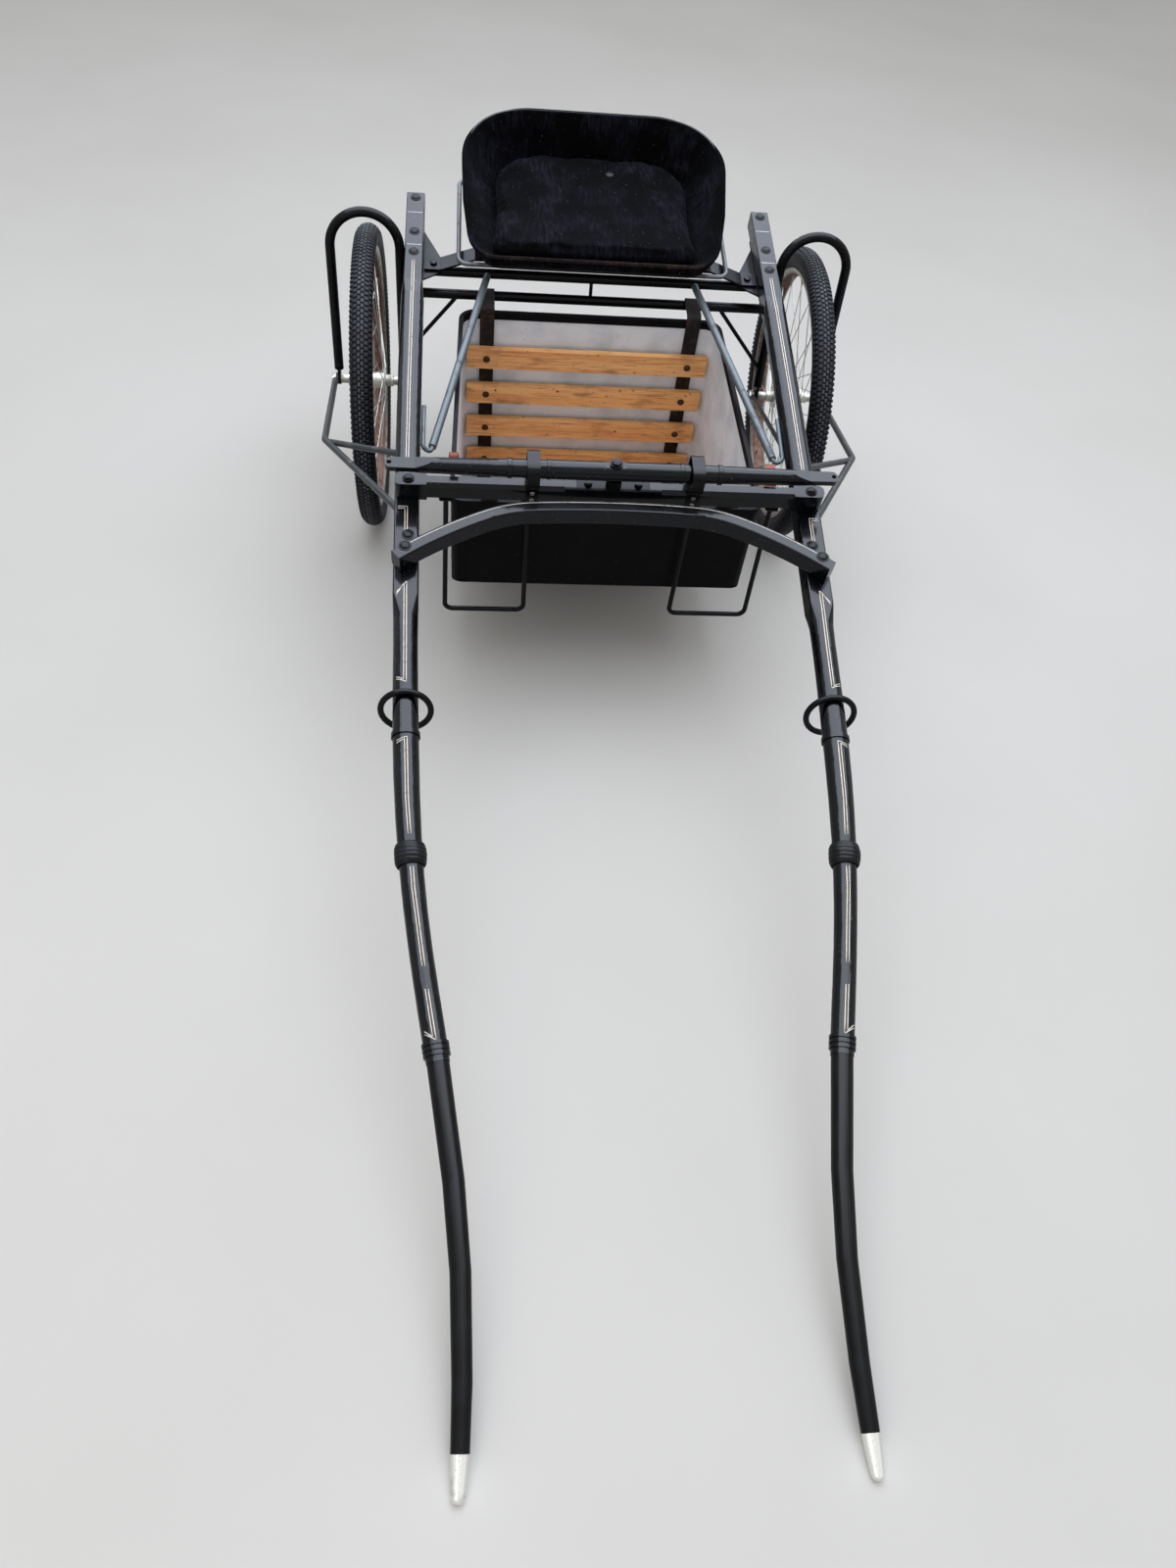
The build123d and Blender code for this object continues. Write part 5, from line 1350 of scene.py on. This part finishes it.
# %% Floor and light
WORLD_FILL = 0.46
floor = added(bpy.ops.mesh.primitive_plane_add, size=60.0, location=(0, 0, 0))
floor.name = "pale_floor"
sheet, sheet_tree, sheet_where = started("pale_floor")
tone = add_node(sheet_tree, "Mix", {"data_type": "RGBA", 6: linear("e3e2df"), 7: linear("dddcd8")},
                {0: patches(sheet_tree, sheet_where, 900, 0.3, 0.7)})
finished(sheet, {"Roughness": 0.95, "Specular IOR Level": 0.0}, {"Base Color": tone.outputs[2]})
floor.data.materials.append(sheet)


def soft_panel(name, place, aim, size, radiance, colour, gloss_only=False):
    """Square area light of a plain radiance, aimed at a point."""
    lamp = bpy.data.lights.new(name, "AREA")
    lamp.shape = "SQUARE"
    lamp.size = size
    lamp.energy = radiance * math.pi * size * size
    lamp.color = linear(colour)[:3]
    holder = bpy.data.objects.new(name, lamp)
    bpy.context.scene.collection.objects.link(holder)
    holder.location = place
    holder.rotation_euler = (Vector(aim) - Vector(place)).to_track_quat("-Z", "Y").to_euler()
    holder.visible_diffuse = not gloss_only


soft_panel("overhead_panel", (0.3, 0.6, 4.6), (0, 0.2, 0), 5.0, 2.1, "f1f5ff")
soft_panel("sky_strip", (0.4, 3.1, 4.55), (0.4, 3.1, 0), 8.6, 8.6, "e1eafb", gloss_only=True)
soft_panel("front_panel", (-2.2, -3.4, 2.6), (0, 0.5, 0.3), 2.0, 1.6, "fff6ea")

world = bpy.data.worlds.new("soft_white_room")
bpy.context.scene.world = world
world.use_nodes = True
sky = world.node_tree
sky.nodes.clear()
rays = add_node(sky, "LightPath").outputs
seen = rays["Is Camera Ray"]
for kind in ("Is Glossy Ray", "Is Transmission Ray"):
    seen = add_node(sky, "Math", {"operation": "MAXIMUM"}, {0: seen, 1: rays[kind]}).outputs[0]
strength = add_node(sky, "MapRange", {"To Min": WORLD_FILL, "To Max": 1.0}, {"Value": seen})
air = add_node(sky, "Background", {"Color": (1, 1, 1, 1)}, {"Strength": strength.outputs[0]})
add_node(sky, "OutputWorld", links={"Surface": air.outputs[0]})

# %% [markdown]
# The camera stands a little left of the middle in front of the cart and looks steeply down, as
# someone would who takes a picture over the shafts. It is slightly rolled. Its three angles,
# place and focal length were found from points of the cart that can be named in the picture.

# %% Camera
CAMERA_YAW = math.radians(8.74)
CAMERA_PITCH = math.radians(46.68)
CAMERA_ROLL = math.radians(6.75)
CAMERA_PLACE = Vector((-0.279, AXLE.y - 2.638, 1.769))
FOCAL_PIXELS, PICTURE_HEIGHT = 1211, 1600
SENSOR_MM = 36.0
level_right = Vector((math.cos(CAMERA_YAW), -math.sin(CAMERA_YAW), 0))
level_ahead = Vector((math.sin(CAMERA_YAW), math.cos(CAMERA_YAW), 0))
ahead_way = level_ahead * math.cos(CAMERA_PITCH) - Vector((0, 0, math.sin(CAMERA_PITCH)))
plain_up = level_right.cross(ahead_way)
right_way = level_right * math.cos(CAMERA_ROLL) + plain_up * math.sin(CAMERA_ROLL)
up_way = plain_up * math.cos(CAMERA_ROLL) - level_right * math.sin(CAMERA_ROLL)
camera_data = bpy.data.cameras.new("picture_camera")
camera_data.sensor_width = SENSOR_MM
camera_data.lens = FOCAL_PIXELS / PICTURE_HEIGHT * SENSOR_MM
camera = bpy.data.objects.new("picture_camera", camera_data)
bpy.context.scene.collection.objects.link(camera)
turned = Matrix((right_way, up_way, -ahead_way)).transposed().to_4x4()
camera.matrix_world = Matrix.Translation(CAMERA_PLACE) @ turned
bpy.context.scene.camera = camera
bpy.context.scene.view_settings.view_transform = "Standard"
